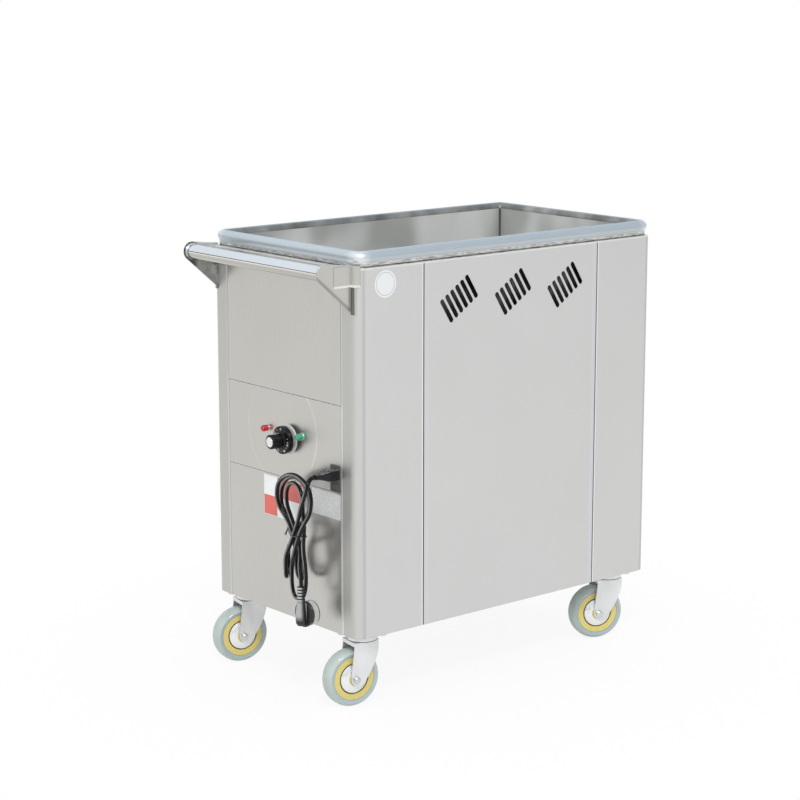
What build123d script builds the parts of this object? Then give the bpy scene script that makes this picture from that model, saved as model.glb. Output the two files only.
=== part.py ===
from build123d import *
import os
from math import cos, pi, radians, sin, sqrt, tan

os.makedirs("parts", exist_ok=True)

# The cart stands on the floor at Z = 0. Its long way is X, with the push handle at the -X end.
# The origin is on the floor, at the middle of the overall length and width.

# Body
body_l = 710.0
body_w = 420.0
body_h = 645.0
body_z = 133.0
corner_r = 22.0
sheet = 1.2
seam = 0.8
fold_depth = 12.0
fold_low = 158.0
fold_high = 755.0
fold_r = 1.0
side_seam_x = 209.0
end_seam_y = 163.0
control_low = 385.0
control_high = 539.0
pan_t = 2.0
pan_edge_h = 18.0
pan_edge_t = 1.5

# Vents in each long side: groups of parallel slanted slots
vent_group_pitch = 128.0
vent_z = 707.5
vent_count = 6
vent_w = 9.0
vent_reach = 40.1
vent_lean = -57.6
vent_step = (11.4, 7.5)

# Top rim, a sheet edge rolled over a neck
rim_inset = 1.0
roll_d = 22.0
roll_z = 796.0
rim_corner_r = 15.0
neck_inset = 4.0
skirt_low = 760.0

# Water well
well_x = 332.0
well_y = 187.0
well_corner_r = 4.0
well_low = 565.0
well_floor_t = 1.5
drain_x = 200.0
drain_bore = 21.0
rack_top = 638.0
rack_x = 200.0
rack_l = 30.0
rack_leg = 15.0
rack_t = 1.5

# Steam plate, which lifts out
plate_l = 656.0
plate_w = 366.0
plate_t = 1.5
plate_edge_h = 8.0
plate_hole_d = 12.0
plate_pitch = 32.0
plate_columns = 18
plate_rows = 11
finger_slot = (90.0, 25.0)
finger_x = 304.0

# Heater
heater_d = 12.0
heater_x = -280.0
heater_riser_y = 25.0
heater_loop_y = 70.0
heater_loop_x = 250.0
heater_z = 595.0
heater_low = 540.0
terminal_d = 6.0
terminal_low = 527.0

# Controls on the handle end, given by Y and Z
knob_y = -13.0
knob_z = 456.6
lamp_places = {"red_lamp": (48.0, 467.0), "green_lamp": (-52.0, 467.5)}
lamp_d = 12.0
lamp_out = 13.0
bezel_d = 13.5
bezel_t = 1.5
barrel_d = 10.0
barrel_depth = 26.0
dial_d = 52.0
dial_t = 1.2
spindle_d = 6.0
thermostat_box = (44.0, 40.0, 28.0)

# Power inlet and the connector in it
inlet_y = -148.5
inlet_z = 410.2
inlet_w = 27.0
inlet_h = 47.0
inlet_t = 2.0
inlet_body = (25.6, 44.0, 22.0)
socket_z = 419.0
socket_w = 24.5
socket_h = 17.0
socket_depth = 17.0
nose_gap = 0.5
connector_out = 46.0

# Push handle
handle_d = 25.4
handle_t = 1.5
handle_out = 56.0
handle_z = 774.0
handle_y = 190.0
bracket_t = 3.0
bracket_nose_r = 17.0
bracket_low = 701.0
bracket_high = 784.0
bracket_flange_top = 748.0
bracket_flange_l = 8.0
bracket_tab_l = 13.0
bracket_pad_l = 38.0
bracket_pad_t = 1.5

# Casters: each one's swivel axis, from the middle of the body, and the heading of its trail at rest
casters = {
    "handle_left": (-311.0, 164.0, 167.0),
    "handle_right": (-311.0, -164.0, 170.0),
    "far_left": (297.0, 164.0, 163.0),
    "far_right": (297.0, -164.0, 156.0),
}
trail = 24.0
wheel_d = 104.0
wheel_w = 32.0
tyre_bore = 78.0
hub_r = 12.0
hub_w = 38.0
axle_d = 8.0
running_gap = 0.08
leg_in = 20.0
leg_t = 2.5
crown_low = 115.5
crown_t = 2.5
crown_r = 27.0
kingpin_d = 10.0
caster_plate = (72.0, 68.0, 3.0)
bolt_pattern = (52.0, 48.0)
bolt_d = 8.0
bolt_head = 13.0
bolt_head_h = 5.3

# Drain
drain_pipe_d = 25.0
valve_d = 34.0
valve_low = 95.0
valve_high = 127.0
lever_l = 70.0

# Power cord: out is the distance in front of the handle end's outer face
cord_d = 7.8
run_share = 0.45
lead_points = [
    (46.0, -148.5, 419.0),
    (54.0, -148.5, 419.0),
    (63.0, -152.0, 413.5),
    (68.5, -153.5, 403.0),
    (68.5, -148.0, 389.0),
    (65.5, -133.0, 365.0),
    (61.0, -118.0, 335.0),
    (61.0, -106.0, 311.0),
]
tail_points = [
    (38.0, -82.5, 311.0),
    (38.0, -94.2, 291.5),
    (43.5, -102.5, 271.0),
    (50.0, -108.0, 251.0),
    (53.0, -116.0, 234.0),
    (53.0, -116.0, 219.0),
]

# The hank hangs as a figure of eight from its tie. A pass is where the cord goes through the tie:
# out, y, and how far it leans towards +Y for each millimetre upwards.
tie_z = 311.0
hank_passes = [
    (61.0, -106.0, -0.5),
    (52.0, -100.0, -0.6),
    (28.0, -54.5, 0.35),
    (36.0, -65.5, 0.6),
    (60.0, -119.5, -0.45),
    (50.5, -121.5, -0.15),
    (38.0, -82.5, 0.6),
]
# A loop joins two passes: where it stands upright going in and coming out, and its far end's height.
hank_loops = [
    ((57.0, -77.0, 253.0), (27.0, -46.0, 249.0), 224.5),
    ((35.0, -119.0, 363.0), (25.0, -24.0, 357.0), 403.0),
    ((15.0, -53.0, 251.0), (29.0, -94.0, 251.0), 219.0),
    ((43.0, -36.0, 367.0), (53.0, -146.0, 375.0), 413.0),
    ((42.0, -75.0, 217.0), (40.5, -113.5, 225.0), 191.0),
    ((54.0, -123.0, 371.0), (46.0, -67.0, 371.0), 399.5),
]
tie_t = 2.4

# Mains plug, hanging at the end of the cord
plug_out = 53.0
plug_y = -116.0
relief_top = 219.0
relief_low = 197.0
plug_low = 150.0
rib_count = 4
disc_d = 46.0
disc_z = 169.0
disc_out = 45.0
disc_t = 4.0
cover_d = 44.0
cover_l = 18.0
cover_t = 1.2

# Derived places
handle_reach = handle_out + bracket_nose_r
mid_x = handle_reach / 2
front_x = mid_x - body_l / 2
back_x = mid_x + body_l / 2
body_top = body_z + body_h
roll_r = roll_d / 2
roll_x = body_l / 2 - rim_inset - roll_r
roll_y = body_w / 2 - rim_inset - roll_r
side_panel_w = 2 * side_seam_x - seam
end_panel_w = 2 * end_seam_y - seam
caster_top = body_z - caster_plate[2]
swivel_spots = [(mid_x + x, y) for x, y, heading in casters.values()]

# Outer faces of the body: local Y points up and the normal points outwards
handle_end = Plane(origin=(front_x, 0, 0), x_dir=(0, -1, 0), z_dir=(-1, 0, 0))
far_end = Plane(origin=(back_x, 0, 0), x_dir=(0, 1, 0), z_dir=(1, 0, 0))
right_side = Plane(origin=(mid_x, -body_w / 2, 0), x_dir=(1, 0, 0), z_dir=(0, -1, 0))
left_side = Plane(origin=(mid_x, body_w / 2, 0), x_dir=(-1, 0, 0), z_dir=(0, 1, 0))


def folded_panel(plane, width, low, high, level_folds=()):
    """A flat panel on an outer face, its upright edges folded inwards, and its level ones if asked."""
    fold_from = max(low, fold_low)
    fold_to = min(high, fold_high)
    fold_x = (width - sheet) / 2
    with BuildPart() as panel:
        with BuildSketch(plane):
            with Locations((0, (low + high) / 2)):
                Rectangle(width, high - low)
        extrude(amount=-sheet)
        with BuildSketch(plane):
            with Locations((0, (fold_from + fold_to) / 2)):
                with Locations((-fold_x, 0), (fold_x, 0)):
                    Rectangle(sheet, fold_to - fold_from)
            for level in level_folds:
                with Locations((0, level)):
                    Rectangle(width, sheet)
        extrude(amount=-fold_depth)
        outer = panel.faces().sort_by(Axis(plane.origin, plane.z_dir))[-1]
        fillet(outer.edges().filter_by(Axis.Z), fold_r)
    return panel.part


def turned(centre, axis, across, outline):
    """A turned piece: its outline is given as radius and distance along the axis."""
    side = Vector(*across).cross(Vector(*axis))
    with BuildPart() as piece:
        with BuildSketch(Plane(origin=centre, x_dir=across, z_dir=side)):
            with BuildLine():
                Polyline(*outline, close=True)
            make_face()
        revolve(axis=Axis(centre, axis))
    return piece.part


def tube(diameter, points, radius):
    """A round rod along straight runs joined by tangent arcs."""
    with BuildPart() as rod:
        with BuildLine() as route:
            FilletPolyline(*points, radius=radius)
        with BuildSketch(Plane(origin=route.line @ 0, z_dir=route.line % 0)):
            Circle(diameter / 2)
        sweep()
    return rod.part


# Corner panels: each runs from an end seam round its corner to a side seam
side_edge = side_seam_x + seam / 2
end_edge = end_seam_y + seam / 2
for x_name, x_side in (("handle", -1), ("far", 1)):
    for y_name, y_side in (("left", 1), ("right", -1)):
        with BuildPart() as corner_panel:
            with BuildSketch(Plane.XY.offset(body_z)):
                with Locations((mid_x, 0)):
                    RectangleRounded(body_l, body_w, corner_r)
                    inner = (body_l - 2 * sheet, body_w - 2 * sheet)
                    RectangleRounded(*inner, corner_r - sheet, mode=Mode.SUBTRACT)
                window = (body_l / 2 - side_edge, body_w / 2 - end_edge)
                window_x = mid_x + x_side * (side_edge + window[0] / 2)
                with Locations((window_x, y_side * (end_edge + window[1] / 2))):
                    Rectangle(*window, mode=Mode.INTERSECT)
            extrude(amount=body_h)
            with BuildSketch(Plane.XY.offset(fold_low)):
                fold_x = mid_x + x_side * (side_edge + sheet / 2)
                with Locations((fold_x, y_side * (body_w - fold_depth) / 2)):
                    Rectangle(sheet, fold_depth)
                fold_x = mid_x + x_side * (body_l - fold_depth) / 2
                with Locations((fold_x, y_side * (end_edge + sheet / 2))):
                    Rectangle(fold_depth, sheet)
            extrude(amount=fold_high - fold_low)
            half_up = body_z + body_h / 2
            upright = corner_panel.edges().filter_by(Axis.Z)
            side_corner = (mid_x + x_side * side_edge, y_side * body_w / 2, half_up)
            end_corner = (mid_x + x_side * body_l / 2, y_side * end_edge, half_up)
            fillet([upright.sort_by_distance(at)[0] for at in (side_corner, end_corner)], fold_r)
        label = f"corner_panel_{x_name}_{y_name}"
        corner_panel.part.label = label
        export_step(corner_panel.part, f"parts/{label}.step")

# Side panels: the same vented panel on each long side
for side_name, plane in (("left", left_side), ("right", right_side)):
    with BuildPart() as side_panel:
        add(folded_panel(plane, side_panel_w, body_z, body_top))
        with BuildSketch(plane):
            for group in (-1, 0, 1):
                for number in range(vent_count):
                    along = number - (vent_count - 1) / 2
                    slot_x = group * vent_group_pitch + along * vent_step[0]
                    with Locations((slot_x, vent_z + along * vent_step[1])):
                        SlotCenterToCenter(vent_reach, vent_w, rotation=vent_lean)
        extrude(amount=-sheet, mode=Mode.SUBTRACT)
    side_panel.part.label = f"side_panel_{side_name}"
    export_step(side_panel.part, f"parts/side_panel_{side_name}.step")

# Handle end: three panels above each other
upper_low = control_high + seam / 2
with BuildPart() as end_panel_upper:
    add(folded_panel(handle_end, end_panel_w, upper_low, body_top, [upper_low + sheet / 2]))
end_panel_upper.part.label = "end_panel_upper"
export_step(end_panel_upper.part, "parts/end_panel_upper.step")

panel_low = control_low + seam / 2
panel_high = control_high - seam / 2
hole_gap = 0.4
with BuildPart() as control_panel:
    level_folds = [panel_low + sheet / 2, panel_high - sheet / 2]
    add(folded_panel(handle_end, end_panel_w, panel_low, panel_high, level_folds))
    with BuildSketch(handle_end):
        with Locations((-knob_y, knob_z), *[(-y, z) for y, z in lamp_places.values()]):
            Circle((barrel_d + hole_gap) / 2)
        with Locations((-inlet_y, inlet_z)):
            Rectangle(inlet_body[0] + hole_gap, inlet_body[1] + hole_gap)
    extrude(amount=-sheet, mode=Mode.SUBTRACT)
control_panel.part.label = "control_panel"
export_step(control_panel.part, "parts/control_panel.step")

lower_high = control_low - seam / 2
with BuildPart() as end_panel_lower:
    add(folded_panel(handle_end, end_panel_w, body_z, lower_high, [lower_high - sheet / 2]))
end_panel_lower.part.label = "end_panel_lower"
export_step(end_panel_lower.part, "parts/end_panel_lower.step")

with BuildPart() as far_end_panel:
    add(folded_panel(far_end, end_panel_w, body_z, body_top))
far_end_panel.part.label = "far_end_panel"
export_step(far_end_panel.part, "parts/far_end_panel.step")

# Base pan: a tray inside the panels' lower edges, with weld nuts for the casters
pan_l = body_l - 2 * sheet
pan_w = body_w - 2 * sheet
pan_corner_r = corner_r + 1
weld_nut_h = 6.5
air_slot = (60.0, 8.0)
with BuildPart() as base_pan:
    with BuildSketch(Plane.XY.offset(body_z)):
        with Locations((mid_x, 0)):
            RectangleRounded(pan_l, pan_w, pan_corner_r)
    extrude(amount=pan_edge_h + pan_t)
    with BuildSketch(Plane.XY.offset(body_z + pan_t)):
        with Locations((mid_x, 0)):
            hollow = (pan_l - 2 * pan_edge_t, pan_w - 2 * pan_edge_t)
            RectangleRounded(*hollow, pan_corner_r - pan_edge_t)
    extrude(amount=pan_edge_h, mode=Mode.SUBTRACT)
    with BuildSketch(Plane.XY.offset(body_z + pan_t)):
        with Locations(*swivel_spots):
            with GridLocations(*bolt_pattern, 2, 2):
                RegularPolygon(bolt_head / 2, 6, major_radius=False)
    extrude(amount=weld_nut_h)
    with BuildSketch(Plane.XY.offset(body_z)):
        with Locations(*swivel_spots):
            with GridLocations(*bolt_pattern, 2, 2):
                Circle(bolt_d / 2 + running_gap)
        with Locations((mid_x, 0)):
            with Locations((drain_x, 0)):
                Circle(drain_pipe_d / 2 + 1)
            with GridLocations(100, 40, 3, 3):
                SlotOverall(*air_slot)
    extrude(amount=pan_t + weld_nut_h, mode=Mode.SUBTRACT)
base_pan.part.label = "base_pan"
export_step(base_pan.part, "parts/base_pan.step")

# Water well
with BuildPart() as water_tank:
    with BuildSketch(Plane.XY.offset(well_low)):
        with Locations((mid_x, 0)):
            RectangleRounded(2 * (well_x + sheet), 2 * (well_y + sheet), well_corner_r + sheet)
    extrude(amount=roll_z - well_low)
    with BuildSketch(Plane.XY.offset(well_low + well_floor_t)):
        with Locations((mid_x, 0)):
            RectangleRounded(2 * well_x, 2 * well_y, well_corner_r)
    extrude(amount=roll_z - well_low, mode=Mode.SUBTRACT)
    with BuildSketch(Plane.XY.offset(well_low)):
        with Locations((mid_x + drain_x, 0)):
            Circle(drain_bore / 2)
        with Locations((mid_x + heater_x, 0)):
            with GridLocations(0, 2 * heater_riser_y, 1, 2):
                Circle((heater_d + hole_gap) / 2)
    extrude(amount=well_floor_t, mode=Mode.SUBTRACT)
water_tank.part.label = "water_tank"
export_step(water_tank.part, "parts/water_tank.step")

# Top rim: a three-quarter roll, and the neck and ledge that stand on the panels
rim_l = body_l - 2 * rim_inset
rim_w = body_w - 2 * rim_inset
neck_top = roll_z - 7.4
ledge_inset = 0.4
with BuildPart() as top_rim:
    with BuildLine(Plane.XY.offset(roll_z)) as roll_route:
        around = [(1, -1), (1, 1), (-1, 1), (-1, -1)]
        corners = [(mid_x + x * roll_x, y * roll_y) for x, y in around]
        FilletPolyline((mid_x, -roll_y), *corners, (mid_x - 1, -roll_y), radius=rim_corner_r)
        Line((mid_x - 1, -roll_y), (mid_x, -roll_y))
    with BuildSketch(Plane(origin=(mid_x, -roll_y, roll_z), x_dir=(0, -1, 0), z_dir=(-1, 0, 0))):
        Circle(roll_r)
        Circle(roll_r - sheet, mode=Mode.SUBTRACT)
        with Locations((-roll_r, 0)):
            Rectangle(roll_r, roll_r, align=(Align.MIN, Align.MAX), mode=Mode.SUBTRACT)
    sweep()
    neck_l = body_l - 2 * neck_inset
    neck_w = body_w - 2 * neck_inset
    neck_r = rim_corner_r + roll_r + rim_inset - neck_inset
    with BuildSketch(Plane.XY.offset(skirt_low)):
        with Locations((mid_x, 0)):
            RectangleRounded(neck_l, neck_w, neck_r)
            RectangleRounded(neck_l - 2 * sheet, neck_w - 2 * sheet, neck_r - sheet, mode=Mode.SUBTRACT)
    extrude(amount=neck_top - skirt_low)
    with BuildSketch(Plane.XY.offset(body_top)):
        with Locations((mid_x, 0)):
            ledge = (body_l - 2 * ledge_inset, body_w - 2 * ledge_inset)
            RectangleRounded(*ledge, corner_r - ledge_inset)
            inside = (neck_l - sheet, neck_w - sheet)
            RectangleRounded(*inside, neck_r - sheet / 2, mode=Mode.SUBTRACT)
    extrude(amount=sheet)
top_rim.part.label = "top_rim"
export_step(top_rim.part, "parts/top_rim.step")

# Rack supports: short angles on the long walls of the well
with BuildPart() as rack_supports:
    for x_side in (-1, 1):
        for y_side in (-1, 1):
            corner = (mid_x + x_side * rack_x, y_side * well_y, rack_top)
            with BuildSketch(Plane(origin=corner, x_dir=(0, -y_side, 0), z_dir=(-y_side, 0, 0))):
                Rectangle(rack_leg, rack_t, align=(Align.MIN, Align.MAX))
                Rectangle(rack_t, rack_leg, align=(Align.MIN, Align.MAX))
            extrude(amount=rack_l / 2, both=True)
rack_supports.part.label = "rack_supports"
export_step(rack_supports.part, "parts/rack_supports.step")

# Steam plate: a shallow perforated tray resting on the rack supports
with BuildPart() as steam_plate:
    with BuildSketch(Plane.XY.offset(rack_top)):
        with Locations((mid_x, 0)):
            RectangleRounded(plate_l, plate_w, corner_r)
    extrude(amount=plate_edge_h)
    with BuildSketch(Plane.XY.offset(rack_top + plate_t)):
        with Locations((mid_x, 0)):
            RectangleRounded(plate_l - 2 * plate_t, plate_w - 2 * plate_t, corner_r - plate_t)
    extrude(amount=plate_edge_h, mode=Mode.SUBTRACT)
    with BuildSketch(Plane.XY.offset(rack_top)):
        with Locations((mid_x, 0)):
            with GridLocations(plate_pitch, plate_pitch, plate_columns, plate_rows):
                Circle(plate_hole_d / 2)
            with GridLocations(2 * finger_x, 0, 2, 1):
                SlotOverall(*finger_slot, rotation=90)
    extrude(amount=plate_t, mode=Mode.SUBTRACT)
steam_plate.part.label = "steam_plate"
export_step(steam_plate.part, "parts/steam_plate.step")

# Heating element: one bent tube, its flange on the well's floor and its terminals below
riser_x = mid_x + heater_x
loop_bend = 20.0
flange_t = 3.0
floor_top = well_low + well_floor_t
heater_points = [
    (riser_x, heater_riser_y, heater_low),
    (riser_x, heater_riser_y, heater_z),
    (riser_x + 60, heater_loop_y, heater_z),
    (mid_x + heater_loop_x, heater_loop_y, heater_z),
    (mid_x + heater_loop_x, -heater_loop_y, heater_z),
    (riser_x + 60, -heater_loop_y, heater_z),
    (riser_x, -heater_riser_y, heater_z),
    (riser_x, -heater_riser_y, heater_low),
]
with BuildPart() as heater_element:
    add(tube(heater_d, heater_points, loop_bend))
    with BuildSketch(Plane.XY.offset(floor_top)):
        with Locations((riser_x, 0)):
            RectangleRounded(40, 90, 8)
    extrude(amount=flange_t)
    with BuildSketch(Plane.XY.offset(terminal_low)):
        with Locations((riser_x, 0)):
            with GridLocations(0, 2 * heater_riser_y, 1, 2):
                Circle(terminal_d / 2)
    extrude(amount=heater_low - terminal_low)
heater_element.part.label = "heater_element"
export_step(heater_element.part, "parts/heater_element.step")

# Thermostat: its case behind the panel, a bushing and spindle through it, and the bulb on its capillary
bulb_d = 6.0
bulb_l = 80.0
bulb_z = well_low - bulb_d / 2
bulb_y = -60.0
bulb_x = front_x + 100
capillary_d = 2.0
case_mid_x = front_x + sheet + thermostat_box[2] / 2
bushing_out = dial_t + 1
spindle_out = 22.0
with BuildPart() as thermostat:
    with BuildSketch(handle_end.offset(-sheet)):
        with Locations((-knob_y, knob_z)):
            Rectangle(thermostat_box[0], thermostat_box[1])
    extrude(amount=-thermostat_box[2])
    fillet(thermostat.edges().filter_by(Axis.X), 2)
    with BuildSketch(handle_end.offset(-sheet)):
        with Locations((-knob_y, knob_z)):
            Circle(barrel_d / 2)
    extrude(amount=sheet + bushing_out)
    with BuildSketch(handle_end.offset(bushing_out)):
        with Locations((-knob_y, knob_z)):
            Circle(spindle_d / 2)
    extrude(amount=spindle_out - bushing_out)
    case_top = knob_z + thermostat_box[1] / 2
    capillary_points = [
        (case_mid_x, knob_y, case_top),
        (case_mid_x, knob_y, 535),
        (case_mid_x, bulb_y, bulb_z),
        (bulb_x, bulb_y, bulb_z),
    ]
    add(tube(capillary_d, capillary_points, 8))
    with BuildSketch(Plane(origin=(bulb_x, bulb_y, bulb_z), z_dir=(1, 0, 0))):
        Circle(bulb_d / 2)
    extrude(amount=bulb_l)
thermostat.part.label = "thermostat"
export_step(thermostat.part, "parts/thermostat.step")

with BuildPart() as dial_plate:
    with BuildSketch(handle_end):
        with Locations((-knob_y, knob_z)):
            Circle(dial_d / 2)
            Circle((barrel_d + hole_gap) / 2, mode=Mode.SUBTRACT)
    extrude(amount=dial_t)
dial_plate.part.label = "dial_plate"
export_step(dial_plate.part, "parts/dial_plate.step")

# Thermostat knob: a skirt for the scale, a fluted grip, and a bore that fits the spindle
outwards = (-1, 0, 0)
knob_centre = (front_x, knob_y, knob_z)
grip_r = 13.0
knob_front = 40.0
knob_back = 3.2
skirt_r = 25.0
skirt_back = 6.5
skirt_front = 16.0
knob_outline = [
    (spindle_d / 2 + running_gap, knob_back),
    (12.0, knob_back),
    (12.0, skirt_back),
    (skirt_r - 1, skirt_back),
    (skirt_r, skirt_back + 1),
    (skirt_r, skirt_front - 1),
    (skirt_r - 1, skirt_front),
    (grip_r + 2, skirt_front + 0.8),
    (grip_r, skirt_front + 2),
    (grip_r, knob_front),
    (0, knob_front),
    (0, spindle_out + 1),
    (spindle_d / 2 + running_gap, spindle_out + 1),
]
flute_count = 14
flute_r = 1.6
with BuildPart() as thermostat_knob:
    add(turned(knob_centre, outwards, (0, 0, 1), knob_outline))
    tip = thermostat_knob.faces().sort_by(Axis.X)[0]
    fillet(tip.edges(), 1.5)
    with BuildSketch(handle_end.offset(knob_front)):
        with Locations((-knob_y, knob_z)):
            with PolarLocations(grip_r + 0.6, flute_count):
                Circle(flute_r)
    extrude(amount=skirt_front + 2 - knob_front, mode=Mode.SUBTRACT)
thermostat_knob.part.label = "thermostat_knob"
export_step(thermostat_knob.part, "parts/thermostat_knob.step")

with BuildPart() as knob_cap:
    with BuildSketch(handle_end.offset(knob_front)):
        with Locations((-knob_y, knob_z)):
            Circle(9)
    extrude(amount=1.2)
    fillet(knob_cap.faces().sort_by(Axis.X)[0].edges(), 0.5)
knob_cap.part.label = "knob_cap"
export_step(knob_cap.part, "parts/knob_cap.step")

# Lamps: a domed lens on a bezel, whose barrel goes through the panel
with BuildPart() as lamp_housings:
    for y, z in lamp_places.values():
        with BuildSketch(handle_end):
            with Locations((-y, z)):
                Circle(bezel_d / 2)
        extrude(amount=bezel_t)
        with BuildSketch(handle_end):
            with Locations((-y, z)):
                Circle(barrel_d / 2)
        extrude(amount=-barrel_depth)
lamp_housings.part.label = "lamp_housings"
export_step(lamp_housings.part, "parts/lamp_housings.step")

for lamp_name, (y, z) in lamp_places.items():
    with BuildPart() as lamp:
        with BuildSketch(handle_end.offset(bezel_t)):
            with Locations((-y, z)):
                Circle(lamp_d / 2)
        extrude(amount=lamp_out - bezel_t)
        fillet(lamp.faces().sort_by(Axis.X)[0].edges(), lamp_d / 2 - 1)
    lamp.part.label = lamp_name
    export_step(lamp.part, f"parts/{lamp_name}.step")

# Power inlet: a flange on the panel, the socket with three pins, and a fuse drawer under it
pin_size = (2.0, 4.0)
pin_l = 14.0
pin_places = [(-7.0, -2.0), (7.0, -2.0), (0.0, 2.0)]
drawer_z = 395.5
with BuildPart() as power_inlet:
    with BuildSketch(handle_end):
        with Locations((-inlet_y, inlet_z)):
            RectangleRounded(inlet_w, inlet_h, 2.5)
    extrude(amount=inlet_t)
    with BuildSketch(handle_end):
        with Locations((-inlet_y, inlet_z)):
            Rectangle(inlet_body[0], inlet_body[1])
    extrude(amount=-inlet_body[2])
    with BuildSketch(handle_end.offset(inlet_t)):
        with Locations((-inlet_y, socket_z)):
            Rectangle(socket_w, socket_h)
    extrude(amount=-socket_depth, mode=Mode.SUBTRACT)
    with BuildSketch(handle_end.offset(inlet_t)):
        with Locations((-inlet_y, drawer_z)):
            Rectangle(20, 12.5)
            Rectangle(18.6, 11.1, mode=Mode.SUBTRACT)
        with Locations((-inlet_y, drawer_z - 4.5)):
            Rectangle(7, 1.6)
    extrude(amount=-1, mode=Mode.SUBTRACT)
    with BuildSketch(handle_end.offset(inlet_t - socket_depth)):
        with Locations((-inlet_y, socket_z)):
            with Locations(*pin_places):
                Rectangle(*pin_size)
    extrude(amount=pin_l)
power_inlet.part.label = "power_inlet"
export_step(power_inlet.part, "parts/power_inlet.step")

# Connector: its nose sits in the socket, and its moulded body narrows to the cord
body_section = (25.0, 20.0)
shoulder_out = 22.0
neck_out = 36.0
neck_d = 12.5
slot_gap = 0.3
with BuildPart() as power_connector:
    with BuildSketch(handle_end.offset(inlet_t)):
        with Locations((-inlet_y, socket_z)):
            RectangleRounded(*body_section, 5)
    extrude(amount=shoulder_out - inlet_t)
    with BuildSketch(handle_end.offset(shoulder_out)):
        with Locations((-inlet_y, socket_z)):
            RectangleRounded(*body_section, 5)
    with BuildSketch(handle_end.offset(neck_out)):
        with Locations((-inlet_y, socket_z)):
            Circle(neck_d / 2)
    loft()
    with BuildSketch(handle_end.offset(neck_out)):
        with Locations((-inlet_y, socket_z)):
            Circle(neck_d / 2)
    with BuildSketch(handle_end.offset(connector_out)):
        with Locations((-inlet_y, socket_z)):
            Circle(cord_d / 2 + 1)
    loft()
    with BuildSketch(handle_end.offset(inlet_t)):
        with Locations((-inlet_y, socket_z)):
            Rectangle(socket_w - 2 * nose_gap, socket_h - 2 * nose_gap)
    extrude(amount=1 - socket_depth)
    with BuildSketch(handle_end.offset(inlet_t + 1 - socket_depth)):
        with Locations((-inlet_y, socket_z)):
            with Locations(*pin_places):
                Rectangle(pin_size[0] + 2 * slot_gap, pin_size[1] + 2 * slot_gap)
    extrude(amount=pin_l, mode=Mode.SUBTRACT)
power_connector.part.label = "power_connector"
export_step(power_connector.part, "parts/power_connector.step")

# Wiring: single wires inside the cabinet, each starting and ending square to a terminal
wire_d = 3.0
wire_bend = 7.0
inlet_back = front_x + inlet_body[2]
case_back = front_x + sheet + thermostat_box[2]
lamp_back = front_x + barrel_depth
red_y, red_z = lamp_places["red_lamp"]
green_y, green_z = lamp_places["green_lamp"]
near_x = front_x + 48
far_x = front_x + 60
wire_routes = [
    [(inlet_back, -141, 405), (far_x, -141, 405), (far_x, -21, 450), (case_back, -21, 450)],
    [(case_back, -5, 460), (near_x, -5, 460), (riser_x, -25, 485), (riser_x, -25, terminal_low)],
    [(inlet_back, -153, 405), (riser_x, -153, 405), (riser_x, 25, 470), (riser_x, 25, terminal_low)],
    [(lamp_back, red_y, red_z), (near_x, red_y, red_z), (near_x, 3, 470), (case_back, 3, 470)],
    [(lamp_back, green_y, green_z), (near_x, green_y, green_z), (near_x, -30, 467), (case_back, -30, 467)],
]
with BuildPart() as wiring:
    for wire_points in wire_routes:
        add(tube(wire_d, wire_points, wire_bend))
wiring.part.label = "wiring"
export_step(wiring.part, "parts/wiring.step")

# Push handle: a tube between two gusset brackets
handle_x = front_x - handle_out
with BuildPart() as handle_tube:
    with BuildSketch(Plane(origin=(handle_x, -handle_y, handle_z), x_dir=(1, 0, 0), z_dir=(0, 1, 0))):
        Circle(handle_d / 2)
        Circle(handle_d / 2 - handle_t, mode=Mode.SUBTRACT)
    extrude(amount=2 * handle_y)
handle_tube.part.label = "handle_tube"
export_step(handle_tube.part, "parts/handle_tube.step")

bracket_root = 4.0
flange_bands = [
    (bracket_low, bracket_flange_top, bracket_flange_l),
    (bracket_flange_top, bracket_high, bracket_tab_l),
]
with BuildPart() as handle_brackets:
    for y_side in (-1, 1):
        face = Plane(origin=(front_x, y_side * handle_y, 0), x_dir=(-1, 0, 0), z_dir=(0, 1, 0))
        edge = Align.MIN if y_side > 0 else Align.MAX
        with BuildSketch(face):
            with Locations((handle_out, handle_z)):
                Circle(bracket_nose_r)
            with Locations((-bracket_root, bracket_low)):
                Rectangle(1, bracket_high - bracket_low, align=(Align.MIN, Align.MIN))
            make_hull()
        extrude(amount=y_side * bracket_t)
        with BuildSketch(face.offset(y_side * bracket_t)):
            with Locations((-bracket_root, bracket_flange_top)):
                pad_size = (bracket_root + bracket_pad_l, bracket_high - bracket_flange_top)
                Rectangle(*pad_size, align=(Align.MIN, Align.MIN))
        extrude(amount=y_side * bracket_pad_t)
        for low, high, reach in flange_bands:
            with BuildSketch(Plane.XY.offset(low)):
                with Locations((front_x + corner_r, y_side * (body_w / 2 - corner_r))):
                    Circle(corner_r + bracket_t)
                with Locations((front_x - bracket_t, y_side * (handle_y + bracket_t))):
                    Rectangle(corner_r, reach, align=(Align.MIN, edge), mode=Mode.INTERSECT)
            extrude(amount=high - low)
    with BuildSketch(Plane.XY.offset(body_z)):
        with Locations((mid_x, 0)):
            RectangleRounded(body_l, body_w, corner_r)
    extrude(amount=body_h + roll_d, mode=Mode.SUBTRACT)
handle_brackets.part.label = "handle_brackets"
export_step(handle_brackets.part, "parts/handle_brackets.step")

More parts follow.
